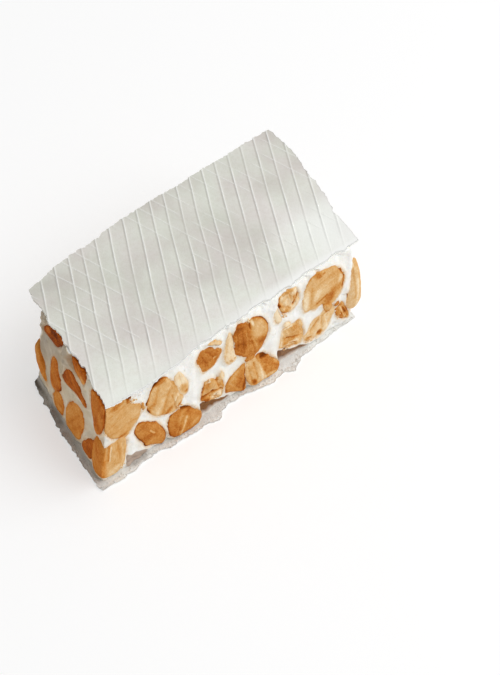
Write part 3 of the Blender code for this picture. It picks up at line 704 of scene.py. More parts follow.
def wall_relief(points, label, along):
    """How far the nougat stands out of its plane, where almond oil has stained it, and where a
    hollow gets painted brown shade. Near an almond it comes up flush with the cut; under the cut it drops
    away."""
    height = points[..., 2]
    front, left = (label == SIDES.index(name) for name in ("front", "left"))
    swell = np.sin(along / 7.0 + 0.8) * np.cos(height / 9.0) + 0.6 * np.sin(along / 15.0 + height / 11.0)
    out = 0.3 * swell + 0.3 * rough(points, 5.0, 31, 2) + 0.16 * rough(points, 1.9, 32, 3)
    out = out - 0.3 * np.abs(lattice_noise(points, 3.0, 34)) ** 0.7
    share = np.clip((height - FOOT_HEIGHT) / (CROWN_HEIGHT - FOOT_HEIGHT), 0, 1)
    for low, high, half in PILLARS:
        middle = low + (high - low) * share + 0.5 * np.sin(height / 5.0)
        out = out + np.where(front, PILLAR_RISE * np.exp(-(((along - middle) / half) ** 2)), 0)
    from_front = sides["left"].length - along
    for place, level, half, amount in LUMPS:
        off = np.hypot(from_front - place, height - level) / half
        out = out + np.where(left, amount * np.exp(-(off**2)) * (1 + 0.4 * rough(points, 1.8, 37, 2)), 0)
    nearest = np.full_like(height, 20.0)
    stain, lips, flush, hold, sink, depth_of, hollow_shade = (np.zeros_like(height) for _ in range(7))
    lip_places = smooth_step(0.2 + 1.2 * lattice_noise(points, 3.6, 61))
    for cut in [*cuts.values(), *chips]:
        _, _, level, beyond = cut.measure(points)
        beyond = np.where((label == cut.home) & (np.abs(level) < 9), beyond, FAR)
        wobble = 0.22 * lattice_noise(points, 2.2, cut.seed)
        wobble = wobble + 0.14 * lattice_noise(points, 0.8, cut.seed + 1)
        near = np.exp(-np.maximum(beyond, 0) / HOLD_REACH)
        better = near > hold
        flush = np.where(better, -level - 0.14 + 0.9 * wobble, flush)
        hold = np.maximum(hold, near)
        under = smooth_step((-SOCKET_INSET - beyond - wobble) / 0.45 + 0.5)
        depth_of = np.where(under > sink, -level - SOCKET_SINK, depth_of)
        sink = np.maximum(sink, under)
        lip = np.exp(-(((beyond - 0.55) / 0.5) ** 2))
        lips = np.maximum(lips, lip * lip_places)
        stain = np.maximum(stain, np.exp(-np.maximum(beyond, 0) / STAIN_REACH))
        nearest = np.minimum(nearest, beyond)
    for middle, half, lean, _, boxy, _ in EDGE_ALMONDS.values():
        off = points - middle
        off = off - off[..., 2:] * np.array([*lean, 0.0])
        beyond = (np.sum(np.abs(off / half) ** boxy, axis=-1) ** (1 / boxy) - 1) * min(half)
        under = smooth_step((-0.3 - beyond - 0.3 * lattice_noise(points, 2.2, 41)) / 0.5 + 0.5)
        depth_of = np.where(under > sink, -EDGE_SOCKET_SINK, depth_of)
        sink = np.maximum(sink, under)
        stain = np.maximum(stain, np.exp(-np.maximum(beyond, 0) / STAIN_REACH))
        nearest = np.minimum(nearest, beyond)
    for name, amount in WEB_SINK.items():
        web = smooth_step((nearest - 0.3) / 2.2)
        out = out - np.where(label == SIDES.index(name), amount * web, 0)
    out = out + hold * (flush - out) * 0.9
    out = out + LIP_HEIGHT * lips
    for start, end, low, high, depth, tone, floor_painted_shade in HOLLOWS:
        place = (along - start) / (end - start)
        roof = low + (high - low) * np.clip(place, 0, 1) + 0.5 * rough(points, 1.8, 35, 2)
        within = np.where(front, smooth_step(place * 12) * smooth_step((1 - place) * 5), 0)
        within = within * smooth_step((roof - height) / 0.8)
        above_floor = smooth_step((height - FOOT_HEIGHT - 0.35) / 0.3)
        fading = depth * np.clip(1.05 - 1.1 * place, 0.12, 1)
        out = out - fading * within * above_floor * (0.85 + 0.25 * rough(points, 1.6, 38, 2))
        # Painted shade: brown on the hollow's wall, and on its floor as much as its floor value says.
        hollow_shade = np.maximum(hollow_shade, within * (floor_painted_shade + (tone - floor_painted_shade) * above_floor))
    for middle, level, half in PITS:
        off = np.hypot((along - middle) / half, (height - level) / (0.8 * half))
        pit = np.where(front, smooth_step(1.35 - off + 0.3 * rough(points, 1.0, 36, 2)), 0)
        out = out - PIT_DEPTH * pit
    out = out + sink * (np.minimum(depth_of, out) - out)
    rounding = smooth_step((height - CROWN_HEIGHT + 2.2) / 2.2) ** 2
    bevel = FOOT_BEVEL * smooth_step((FOOT_HEIGHT + 1.2 - height) / 1.2)
    return out - np.where(left, 0.4, 0.1) * rounding - bevel, stain, hollow_shade


OIL_STAIN = (226, 190, 140)
# The colour of the painted shade in the front's hollows.
HOLLOW_SHADE_BROWN = (150, 102, 54)
# How fine the nougat's blushes, oil blotches and torn grain are, in lumps per metre.
NOUGAT_BLUSHES, NOUGAT_BLOTCHES, NOUGAT_GRAIN = 230.0, 900.0, 1000.0


def nougat_material():
    """Whipped sugar: white, faintly see-through and satin, creamier where almond oil has stained
    it, with a fine torn grain. Painted brown shade darkens the hollows, and painted grey shade the left
    end."""
    material, tree, shader = shader_of("nougat", 0.5)
    place = object_coordinates(tree)
    white = ramp_node(tree, noise_node(tree, place, NOUGAT_BLUSHES),
                      [(0.35, (255, 255, 251)), (0.68, (250, 248, 240))])
    blotch = math_node(tree, "MULTIPLY", noise_node(tree, place, NOUGAT_BLOTCHES, 3.0), 1.45)
    speckled = math_node(tree, "MULTIPLY", attribute_node(tree, "stain"), blotch)
    colour = mix_node(tree, speckled, white, linear(OIL_STAIN))
    # Painted shade on the left end, from grey-beige to darker grey.
    end_shade = ramp_node(tree, attribute_node(tree, "end_shade"),
                    [(0.0, (255, 255, 255)), (0.5, (220, 205, 181)), (1.0, (175, 161, 144))])
    colour = mix_node(tree, 1.0, colour, end_shade, "MULTIPLY")
    # Painted brown shade in the hollows.
    colour = mix_node(tree, attribute_node(tree, "hollow_shade"), colour, linear(HOLLOW_SHADE_BROWN))
    feed(tree, shader, {"Base Color": colour, "Subsurface Weight": 0.25, "Subsurface Scale": 0.0012,
                        "Specular IOR Level": 0.35})
    shader.inputs["Subsurface Radius"].default_value = (1.0, 0.85, 0.7)
    bump_node(tree, shader, noise_node(tree, place, NOUGAT_GRAIN, 5.0, 0.65), 0.00035)
    return material


def closed_rings(count, columns, start=0):
    """Faces of rings of points followed by two poles: the bands between the rings, and two fans."""
    first, total = start + np.arange(columns), start + count * columns
    last = first + (count - 1) * columns
    fans = [np.stack([np.roll(first, -1), first, np.full(columns, total)], -1),
            np.stack([last, np.roll(last, -1), np.full(columns, total + 1)], -1)]
    return [ring_faces(count, columns, start), *fans]


WALL_RINGS = 112
WALL_BASE = 0.8
UNDERSIDE = 0.72
# How far each ring of the top and of the underside has shrunk towards the middle.
SHRINKS = (0.012, 0.05, 0.2, 0.5, 0.8)


def make_nougat():
    """The block: rings of wall from foot to crown, closed by rings that shrink to a point on the
    top and on the underside."""
    share = np.linspace(0, 1, WALL_RINGS)
    heights = WALL_BASE + share * (CROWN_HEIGHT - WALL_BASE)
    places, outward, label, along = wall_grid(heights)
    base = np.dstack([places, np.broadcast_to(heights[:, None], places.shape[:2])])
    label = np.broadcast_to(label, places.shape[:2])
    out, stain, hollow_shade = wall_relief(base, label, along)
    wall = base.copy()
    wall[..., :2] += outward * out[..., None]
    crown = crown_height(wall[-1, :, 0], wall[-1, :, 1])
    wall[..., 2] = WALL_BASE + share[:, None] * (crown[None, :] - WALL_BASE)
    middle = wall[-1].mean(axis=0)
    tops, bottoms = [], []
    for shrink in SHRINKS:
        spot = wall[-1, :, :2] * (1 - shrink) + middle[:2] * shrink
        tops.append(np.column_stack([spot, crown_height(spot[:, 0], spot[:, 1]) + 0.12]))
        spot = wall[0, :, :2] * (1 - shrink) + middle[:2] * shrink
        bottoms.append(np.column_stack([spot, np.full(len(spot), UNDERSIDE)]))
    rings = np.concatenate([np.array(bottoms)[::-1], wall, np.array(tops)])
    poles = np.array([[*middle[:2], UNDERSIDE], [*middle[:2], CROWN_HEIGHT]])
    points = np.concatenate([rings.reshape(-1, 3), poles])
    from_front = sides["left"].length - along
    # Painted shade on the left end: darker towards the back and the top, with a little random tone.
    end_shade = 0.42 + 0.5 * smooth_step((from_front + 0.7 * base[..., 2] - 34) / 30)
    end_shade = np.where(label == SIDES.index("left"), end_shade + 0.14 * rough(base, 5.0, 39, 3), 0.0)
    begin = len(bottoms) * rings.shape[1]
    layers = {}
    for name, values in (("stain", stain), ("hollow_shade", hollow_shade), ("end_shade", end_shade)):
        layers[name] = np.zeros(len(points))
        layers[name][begin:begin + values.size] = values.ravel()
    make_piece("nougat", points, closed_rings(*rings.shape[:2]), nougat_material(), ["nougat"],
               layers)


make_nougat()

# ----------------------------------------------------------------------
# The almonds. Toasted, with or without their skin: pale and fibrous where the saw went through, and
# brown and smooth where it pulled them out whole. Each sits in a socket that it pressed for itself.
# ----------------------------------------------------------------------

CAP_RINGS = 30
BOWL_RINGS = 8
BOWL_SCALE = 0.98
BOWL_LIP = 0.7
# The colour of the painted warm shade on the almonds of the left end.
END_SHADE_TINT = (255, 232, 196)
# How fine the almonds' specks and clouds are, in lumps per metre, and their fibres, per turn.
ALMOND_SPECKS, ALMOND_CLOUDS, ALMOND_FIBRES = 1600.0, 330.0, 2.1
# From cream flesh to dark skin.
TOAST_COLOURS = [(0.0, (250, 230, 196)), (0.2, (237, 200, 148)), (0.4, (223, 172, 108)),
                 (0.55, (211, 146, 72)), (0.7, (190, 112, 42)), (0.85, (158, 82, 18)), (1.0, (110, 52, 8))]


def almond_material():
    """Toasted almond. The toast layer runs from cream flesh to dark brown skin; fine fibres and
    specks follow it in colour and in relief."""
    material, tree, shader = shader_of("almond", 0.7)
    place = object_coordinates(tree)
    fibre_place = add_node(tree, "UVMap", "UV", {}, uv_map="fibre")
    speck = noise_node(tree, place, ALMOND_SPECKS, 4.0, 0.7)
    cloud = noise_node(tree, place, ALMOND_CLOUDS, 3.0)
    fibre = noise_node(tree, fibre_place, ALMOND_FIBRES, 4.0, 0.6)
    shares = [math_node(tree, "MULTIPLY", *pair) for pair in ((speck, 0.6), (cloud, 0.25), (fibre, 0.3))]
    swing = math_node(tree, "ADD", math_node(tree, "ADD", *shares[:2]), shares[2])
    # Half of the three shares is taken off, so that the toast swings as far to pale as to dark.
    swing = math_node(tree, "SUBTRACT", swing, 0.575)
    level = math_node(tree, "ADD", attribute_node(tree, "toast"), swing)
    colour = ramp_node(tree, level, TOAST_COLOURS)
    # Painted warm shade on the almonds of the left end.
    warmer = mix_node(tree, attribute_node(tree, "end_shade_warmth"), WHITE, linear(END_SHADE_TINT))
    colour = mix_node(tree, 1.0, colour, warmer, "MULTIPLY")
    feed(tree, shader, {"Base Color": colour, "Specular IOR Level": 0.03})
    bump_node(tree, shader, math_node(tree, "ADD", speck, fibre), 0.0002)
    return material


def add_fibre_map(piece, along, across):
    """A UV map in which the fibres run along V: one turn is a millimetre across the almond and
    five along it."""
    mesh = piece.data
    index = np.empty(len(mesh.loops), np.int32)
    mesh.loops.foreach_get("vertex_index", index)
    spots = np.column_stack([across, along / 5])[index].astype(np.float32)
    mesh.uv_layers.new(name="fibre").data.foreach_set("uv", spots.ravel())


def turned(u, z, spot, lean):
    """How far ahead of a spot, and how far aside, each place lies along a line of this lean."""
    turn = math.radians(lean)
    ahead = (u - spot[0]) * math.cos(turn) + (z - spot[1]) * math.sin(turn)
    return ahead, (z - spot[1]) * math.cos(turn) - (u - spot[0]) * math.sin(turn)


def facet(spot, direction, slope, change):
    """The cut falls away past a line through the spot, at this slope in this direction."""
    def rule(u, z, *_):
        past, _ = turned(u, z, spot, direction)
        return -slope * np.maximum(past, 0), change * smooth_step(past / 0.5 + 0.5)
    return rule


def crack(first, last, width, depth, change):
    """A narrow groove from one spot to another; a negative depth is a raised line."""
    def rule(u, z, *_):
        run = np.subtract(last, first)
        share = np.clip(((u - first[0]) * run[0] + (z - first[1]) * run[1]) / (run @ run), 0, 1)
        off = np.hypot(u - first[0] - share * run[0], z - first[1] - share * run[1])
        bell = np.exp(-((off / width) ** 2))
        return -depth * bell, change * bell
    return rule


def patch(spot, half, lean, rise, change):
    """An oval patch of other toast, raised or sunk: half its length and width, and its lean."""
    def rule(u, z, *_):
        ahead, aside = turned(u, z, spot, lean)
        inside = smooth_step(1.3 - np.hypot(ahead / half[0], aside / half[1]))
        return rise * inside, change * inside
    return rule


def rim(direction, spread, width, change):
    """A band of other toast on the edge, for this many degrees each side of a direction."""
    def rule(u, z, beyond, turn):
        off = np.degrees(np.abs(np.angle(np.exp(1j * (turn - math.radians(direction))))))
        return 0, change * smooth_step((spread - off) / 25 + 0.5) * np.exp(-((beyond / width) ** 2))
    return rule


def look(toast, *features, edge=0.1, dome=0.22, shoulder=0.35, coarse=0.1, patchy=0.07, depth=4.0):
    """How a cut looks: its toast, what is worked into it, how much darker its edge is, how much it
    domes, how deep its shoulder drops, how coarse and patchy it is, and how deep it goes."""
    return dict(toast=toast, features=features, edge=edge, dome=dome, shoulder=shoulder, coarse=coarse,
                patchy=patchy, depth=depth)


# The looks of the cuts, in the same order as their sizes. Spots are along the side and up it.
FRONT_LOOKS = [
    look(0.4, patch((5.4, 36.6), (3.4, 1.5), 8, 0.1, 0.24), patch((9.8, 37), (0.8, 2.4), 0, -0.2, 0.44),
        patch((12.4, 33.6), (2.6, 1.0), -40, 0.1, 0.14), patch((7.6, 19.8), (2.6, 1.2), 10, 0, 0.26),
        crack((1, 26.5), (13, 30), 0.4, 0.06, -0.06), crack((2, 33), (12, 35), 0.5, 0.06, 0.08),
        crack((3, 23.6), (12.6, 24.6), 0.4, 0.06, 0.07), patch((13.2, 27), (2.0, 2.6), 20, 0, -0.08),
        facet((14.4, 32), 27, 0.35, 0.1), edge=0.1, patchy=0.05, coarse=0.14),
    look(0.62, rim(170, 130, 0.6, 0.16), rim(300, 70, 0.6, 0.16),
        crack((19.2, 13.2), (21.2, 10.4), 0.25, 0.12, -0.38), crack((17, 15.5), (22, 8), 0.4, 0.05, 0.05),
        crack((20.5, 15), (24.2, 7.6), 0.4, 0.04, -0.05), patch((23, 14.4), (1.6, 0.6), -45, 0, -0.3),
        dome=0.5, shoulder=0.6, edge=0.18),
    look(0.34, patch((22.3, 35), (3.4, 1.5), -14, 0.1, 0.3), rim(150, 60, 0.5, 0.4), rim(180, 30, 0.4, 0.2),
        crack((20.4, 23), (22.6, 33), 0.6, 0.1, 0.14), crack((22.0, 18.5), (24.8, 24.6), 1.3, -0.06, -0.22),
        crack((24.4, 17.6), (27.4, 28), 0.6, 0.06, 0.12), patch((27.6, 17.2), (2.6, 1.4), 50, 0.1, 0.3),
        crack((26, 34), (30, 26), 0.5, 0, -0.1), patch((19.4, 24.6), (3.4, 1.0), 70, 0, 0.14),
        patch((30.6, 21.4), (3.6, 1.4), 70, 0.1, -0.2), patch((31.6, 17), (1.6, 1.2), 0, 0.1, 0.24),
        crack((28.4, 24), (30.4, 16), 0.35, 0.25, 0.2), patch((29, 29), (1.4, 3), 20, -0.1, 0.22),
        patchy=0.1, coarse=0.16),
    look(0.02, patch((33.6, 23.8), (3.8, 2.0), -62, 0.05, 0.46), patch((34.6, 22), (1.3, 0.9), -40, 0, 0.3),
        crack((31, 32), (32.4, 26), 0.3, 0.1, 0.1), patchy=0.08),
    look(0.6, facet((35, 9), 0, 0.08, 0.06), patch((32.4, 9), (3.6, 1.2), 70, 0, -0.14),
        rim(100, 60, 0.8, 0.26), crack((34.7, 8.4), (31.3, 1.2), 0.5, -0.16, -0.34),
        patch((29.2, 3.4), (2.0, 0.9), -70, 0, 0.14), patch((35.4, 12.6), (4.0, 0.9), -14, 0, 0.24),
        rim(10, 40, 0.7, -0.3), rim(180, 50, 0.5, 0.2), crack((33, 9), (30.4, 3), 0.3, 0.1, 0.1),
        patch((37.4, 3.4), (3, 1), 10, 0, -0.14), dome=0.5),
    look(0.66, patch((46.6, 29), (0.8, 0.6), 40, -0.1, -0.38),
        crack((41, 33.4), (44, 26.4), 0.4, 0.06, 0.08), crack((43, 34.8), (47, 28), 0.4, 0.06, 0.08),
        rim(95, 60, 0.5, 0.14), rim(60, 40, 0.5, 0.14), patch((44, 31), (4, 1.2), -60, 0, -0.06),
        edge=-0.12, patchy=0.06),
    look(0.04, crack((52.2, 34), (51.6, 25), 0.35, 0.1, 0.12), patch((52.6, 21.6), (2.4, 1.2), 20, 0, 0.18),
        patch((54.6, 22.4), (1.6, 1.4), 0, 0.1, 0.1), patchy=0.1),
    look(0.68, patch((65.6, 30.4), (6.8, 4.0), 112, 0.14, -0.42), rim(8, 60, 0.45, 0.22),
        rim(45, 34, 0.45, 0.3), rim(330, 30, 0.45, 0.2), crack((57.6, 36), (59.4, 22), 0.3, 0.1, 0.1),
        crack((59.6, 33), (61.6, 20), 0.3, 0.1, -0.1), crack((61.4, 29), (64.6, 19.4), 0.3, 0.1, 0.1),
        crack((56, 34), (56.6, 25), 0.3, 0.1, 0.1), crack((63, 27), (66, 20), 0.3, 0.1, -0.1),
        patch((56.4, 35.4), (2.2, 1.6), 0, 0, 0.12), crack((60.8, 37.6), (61.4, 33), 0.3, 0.2, 0.34),
        patch((62.2, 35.4), (2.2, 0.7), 110, -0.1, -0.5), patch((64.6, 22), (2.6, 2.0), 0, 0, -0.08),
        edge=0.06, dome=0.45),
    look(0.44, crack((42, 11.4), (46.4, 11.8), 0.5, 0.55, 0.4),
        crack((46.4, 11.8), (51, 9.6), 0.5, 0.5, 0.4), patch((46.2, 15.6), (3.2, 1.6), -10, 0.2, -0.06),
        patch((48.6, 8.4), (3.2, 1.8), -10, -0.1, -0.5), patch((43.6, 9.4), (2.0, 1.1), -40, 0.1, 0.22),
        patch((50, 17), (1.4, 1.4), 60, 0, -0.3), crack((45, 10.4), (49, 7), 0.3, 0.3, 0.26),
        crack((41.9, 18), (41.9, 12), 0.5, 0.2, 0.34), patch((44.4, 18.4), (2, 0.8), 0, 0.1, -0.3),
        crack((47.6, 17.4), (49.4, 12), 0.4, 0.3, 0.24), coarse=0.36, patchy=0.2),
    look(0.52, patch((58.6, 6), (4.6, 2.6), -60, 0, 0.16), patch((60.4, 4), (2.6, 0.9), 84, 0, 0.3),
        crack((60.8, 12), (61.4, 4.4), 0.4, 0.2, 0.2), patch((56, 12), (3.4, 1.0), 30, 0, -0.14),
        crack((54, 10), (58, 4), 0.35, 0.1, -0.12), crack((56.4, 12), (59.6, 8), 0.35, 0.1, 0.12),
        edge=0.12, dome=0.45),
    look(0.28, facet((67.6, 9), 20, 0.12, 0.34), patch((69, 13), (3.0, 1.3), -30, 0.1, 0.34),
        rim(14, 40, 0.8, -0.24), crack((66.8, 14.4), (68, 3), 0.45, -0.14, -0.2),
        patch((64.4, 3.8), (1.8, 1.2), -60, 0.1, 0.5), crack((64.6, 12.6), (66, 4.6), 0.4, 0.2, 0.24),
        patch((64, 9.4), (3.6, 0.8), -70, 0, 0.14), patch((72, 2.4), (3.6, 0.9), -14, 0, -0.24),
        patch((74.4, 6.4), (1.6, 0.8), -60, 0, -0.1), crack((62.4, 12), (63.4, 5), 0.35, 0.2, 0.16),
        dome=0.5, coarse=0.18, patchy=0.1),
    look(0.12, patch((78.4, 33.6), (2.4, 1.4), -20, -0.1, -0.14),
        crack((74.5, 37.4), (74.9, 33), 0.55, 0.1, 0.55), crack((83.2, 35.6), (81.4, 30), 0.45, 0.3, 0.6),
        crack((81.2, 34.4), (81.4, 30.4), 0.4, 0.25, 0.4), patch((77.6, 38.2), (3.2, 1.2), -4, 0.1, 0.3),
        patch((77.2, 29.2), (2.6, 1.2), -20, 0, 0.24), crack((76, 32.6), (80, 29.2), 0.4, 0.2, 0.2),
        crack((79, 37), (80.4, 33), 0.4, 0.2, 0.2), coarse=0.34, patchy=0.2, edge=0.18),
    look(0.34, patch((91.8, 36.9), (2.4, 1.4), -30, 0.1, 0.3),
        patch((94.4, 36.6), (0.9, 0.6), 0, -0.1, 0.3), crack((101.2, 34.6), (104.1, 28.8), 0.35, 0.2, 0.42),
        crack((104.1, 28.8), (104.2, 23), 0.35, 0.2, 0.42), rim(2, 34, 0.4, 0.1),
        patch((86.8, 27), (6.6, 1.8), 92, 0, -0.28), crack((89, 34.6), (89.6, 24), 0.5, 0.1, 0.12),
        patch((92, 27.4), (3.6, 1.8), 80, 0, -0.18), patch((98.4, 22.4), (4.6, 2.8), 64, 0, 0.34),
        crack((92.4, 22.6), (96.4, 24.4), 0.6, 0.16, 0.3), patch((102.6, 24.6), (3.0, 1.6), 60, 0, 0.16),
        patch((102.6, 29.4), (2.6, 1.4), 80, 0, -0.18), crack((90, 32), (98, 33.6), 0.4, 0.06, 0.08),
        crack((92, 29.6), (100, 31), 0.4, 0.06, -0.08), patch((99.6, 35.6), (2.6, 1.2), -20, 0, -0.06),
        rim(150, 40, 0.5, 0.14), edge=0.1, dome=0.45, patchy=0.1),
    look(0.36, patch((81, 16.4), (4.0, 1.8), 4, 0.2, -0.02),
        crack((79.0, 14.2), (86.6, 10.8), 0.3, 0.5, 0.3), patch((82.4, 9.8), (4.0, 1.5), -12, -0.1, -0.5),
        patch((79.4, 11.2), (1.6, 0.9), -20, 0.1, 0.2), patch((85.8, 17.6), (1.4, 2.0), 20, 0, -0.34),
        crack((77.4, 19), (77.4, 11), 0.6, 0.2, -0.3), crack((81.4, 9.8), (84, 8.6), 0.4, 0.3, 0.34),
        patch((85.6, 9.6), (1.8, 1.2), 0, 0, 0.12), patch((80.4, 19.4), (3, 0.8), 0, 0.1, -0.3),
        coarse=0.34, patchy=0.18),
    look(0.2, patch((95.4, 5.4), (1.7, 1.4), -46, -0.2, 0.54),
        patch((90.2, 5.8), (2.6, 1.0), 20, -0.1, 0.3), crack((95.6, 14), (96.4, 7.4), 0.45, 0.25, 0.2),
        patch((98.6, 15), (2.4, 1.6), 40, 0, 0.34), patch((92.4, 10.6), (3.4, 1.2), 60, 0, 0.14),
        crack((97.4, 13.6), (98.8, 6.4), 0.4, 0.15, -0.14), crack((91, 9), (94.4, 13.6), 0.4, 0.25, 0.22),
        crack((89.4, 6.6), (92.4, 5), 0.4, 0.2, 0.26), coarse=0.28, patchy=0.17, edge=0.04),
    look(0.5, patch((106.2, 7), (2.6, 1.4), -60, 0, 0.22),
        crack((104, 12.6), (107.4, 4.6), 0.35, -0.1, -0.36), patch((104.2, 13), (1.6, 1.0), -60, 0, 0.2),
        patch((107.8, 6), (1.4, 0.6), -60, 0, -0.26), crack((105.6, 11), (108.6, 4.6), 0.35, 0.2, 0.3),
        edge=0.22, coarse=0.26, patchy=0.14),
]
LEFT_LOOKS = [
    look(0.62, crack((3, 38), (6, 24), 0.5, 0.06, 0.06), patch((2.4, 30), (5, 1.4), 80, 0, -0.08)),
    look(0.75, rim(200, 60, 0.8, 0.1), patch((12, 8), (2, 1.4), -50, 0, -0.12)),
    look(0.68, patch((19, 35.4), (3.2, 1.6), 0, 0, -0.12), patch((16.4, 34.4), (2.0, 1.6), 0, 0, -0.3)),
    look(0.8, crack((15, 26), (26, 30), 0.8, 0.06, -0.1)),
    look(0.51, crack((17, 17), (23.6, 6), 0.6, 0.05, 0.1), crack((15.6, 13), (22, 4), 0.4, 0.05, 0.08),
        rim(190, 80, 0.5, 0.14)),
    look(0.62, rim(200, 60, 0.8, 0.14), patchy=0.12),
    look(0.6, patch((31, 5), (2, 1.4), 0, 0, -0.16), patchy=0.12),
    look(0.84, patch((36, 36.6), (4, 1.4), -20, 0, 0.16), patch((41.4, 33.6), (3, 1.4), -36, 0, -0.16),
        dome=0.3),
]
RIGHT_LOOKS = [
    look(0.36, crack((10, 33), (18, 21), 0.5, 0.08, 0.1), rim(20, 60, 0.7, 0.3)),
    look(0.62, rim(150, 60, 0.8, 0.2)),
    look(0.3, patch((29, 22), (4, 2.2), 80, 0, 0.2), rim(0, 60, 0.7, 0.3)),
    look(0.68, crack((34, 34), (42, 28), 0.5, 0.08, 0.14)),
    look(0.46, facet((40, 8), 20, 0.12, 0.2)),
]
BACK_LOOKS = [
    look(0.4, facet((12, 28), 150, 0.1, 0.24), rim(330, 60, 0.7, 0.3)),
    look(0.66, rim(200, 70, 0.8, 0.2)),
    look(0.34, crack((18, 16), (29, 7), 0.5, 0.1, 0.14), rim(60, 60, 0.7, 0.3)),
    look(0.72, patch((29, 26), (3.2, 1.6), -60, 0, -0.3)),
    look(0.38, facet((41, 15), -38, 0.12, 0.26), crack((36, 9), (44, 21), 0.4, 0.1, 0.1)),
    look(0.16, patch((44, 32), (3.6, 1.4), 10, 0, 0.2), patchy=0.14),
    look(0.6, rim(120, 60, 0.8, 0.24), crack((48, 13), (61, 8), 0.5, 0.08, 0.1)),
    look(0.32, rim(10, 50, 0.7, 0.34), patch((61, 33), (2.8, 4), 0, 0, 0.16),
        crack((60, 20), (63, 34), 0.4, 0.1, 0.1)),
    look(0.5, facet((72, 15), 150, 0.12, 0.2)),
    look(0.66, crack((70, 35), (84, 30), 0.4, 0.08, 0.1)),
    look(0.3, rim(30, 60, 0.7, 0.34), crack((83, 19), (92, 6), 0.5, 0.1, 0.14)),
    look(0.44, crack((88, 29), (99, 32), 0.5, 0.3, 0.3), coarse=0.26, patchy=0.16),
    look(0.6, patch((100, 14), (2.4, 2), 70, 0, -0.3)),
]


def soft_excess(value, bend):
    """0 well below 0, the value itself well above it, and a bend this wide between."""
    return bend * np.logaddexp(0, value / bend)


def kept_inside(points, own, gap):
    """Points held back behind the planes of the other sides, and between the wafers."""
    for name, side in sides.items():
        if name not in own:
            past = (points - side.origin) @ side.out + gap
            points = points - side.out * soft_excess(past, 0.15)[:, None]
    low, high = BOTTOM_THICKNESS + 0.2, crown_height(points[:, 0], points[:, 1]) - 0.1
    height = high - soft_excess(high - points[:, 2], 0.22)
    points[:, 2] = low + soft_excess(height - low, 0.22)
    return points


def cut_surface(cut, finish, segments, cap_rings=CAP_RINGS):
    """An almond with a cut face: rings from the middle of the cut out to its edge, then on round
    the buried bowl to its deepest point. The cut is a low dome with a rounded shoulder."""
    turn = np.linspace(0, 2 * np.pi, segments, endpoint=False)[None, :]
    share = np.sin(np.linspace(0, 1, cap_rings + 1)[1:, None] * np.pi / 2) ** 0.85
    radius = cut.radius(turn)
    along, up = share * radius * np.cos(turn), share * radius * np.sin(turn)
    beyond = (share - 1) * radius
    u, z = cut.centre[0] + along, cut.centre[1] + up
    height = finish["dome"] * (1 - share**2) - finish["shoulder"] * np.exp(beyond / 0.35)
    toast = finish["toast"] + finish["edge"] * np.exp(-((beyond / 0.7) ** 2))
    for rule in finish["features"]:
        rise, change = rule(u, z, beyond, turn)
        height, toast = height + rise, toast + change
    flat = np.stack([along, up, np.full_like(along, 10.0 * cut.seed)], axis=-1)
    cos, sin = math.cos(cut.lean), math.sin(cut.lean)
    grain = np.stack([(along * cos + up * sin) / 6, up * cos - along * sin, flat[..., 2]], axis=-1)
    height = height + finish["coarse"] * (rough(flat, 2.4, 51, 3) + 0.5 * rough(grain, 0.8, 52, 2))
    toast = toast + finish["patchy"] * rough(flat, 4.0, 53, 2)
    cap = cut.middle + along[..., None] * cut.along + up[..., None] * cut.up + height[..., None] * cut.out
    deep = np.linspace(0, 1, BOWL_RINGS + 1)[1:-1, None] * np.pi / 2
    bowl = (cut.middle + (BOWL_SCALE * np.cos(deep) * radius * np.cos(turn))[..., None] * cut.along
            + (BOWL_SCALE * np.cos(deep) * radius * np.sin(turn))[..., None] * cut.up
            - (BOWL_LIP + finish["depth"] * np.sin(deep) + 0 * turn)[..., None] * cut.out)
    rings = np.concatenate([cap, bowl])
    poles = np.array([cap[0].mean(axis=0), cut.middle - cut.out * (BOWL_LIP + finish["depth"])])
    points = np.concatenate([rings.reshape(-1, 3), poles])
    points = kept_inside(points, [SIDES[cut.home]], 0.3)
    buried = np.full(bowl[..., 0].size, finish["toast"] + 0.2)
    toasts = np.concatenate([toast.ravel(), buried, [toast[0].mean(), finish["toast"] + 0.2]])
    return points, closed_rings(*rings.shape[:2]), toasts


def make_cut_almond(node, cut, finish, material, segments):
    """The almond of a CAD node, with its fibres along the cut's long way."""
    points, faces, toasts = cut_surface(cut, finish, segments)
    # The almonds of the left end get the painted warm shade.
    end_shade_warmth = np.full(len(points), float(SIDES[cut.home] == "left"))
    piece = make_piece(node, points, faces, material, [node], {"toast": toasts, "end_shade_warmth": end_shade_warmth})
    off = points - cut.middle
    long_way = cut.along * math.cos(cut.lean) + cut.up * math.sin(cut.lean)
    add_fibre_map(piece, off @ long_way, off @ np.cross(cut.out, long_way))


def ball_points(segments, rings, pointed=0.0):
    """Rings of a ball of radius 1 from its top down, narrower at the top if pointed, and its poles."""
    around = np.linspace(0, 2 * np.pi, segments, endpoint=False)[None, :]
    tall = np.linspace(0, np.pi, rings + 2)[1:-1, None]
    level = np.cos(tall) + 0 * around
    thin = np.sin(tall) * (1 - pointed * level)
    ball = np.stack([thin * np.cos(around), thin * np.sin(around), level], axis=-1)
    return np.concatenate([ball.reshape(-1, 3), [[0, 0, 1], [0, 0, -1]]])


EDGE_SEGMENTS, EDGE_RINGS = 200, 120


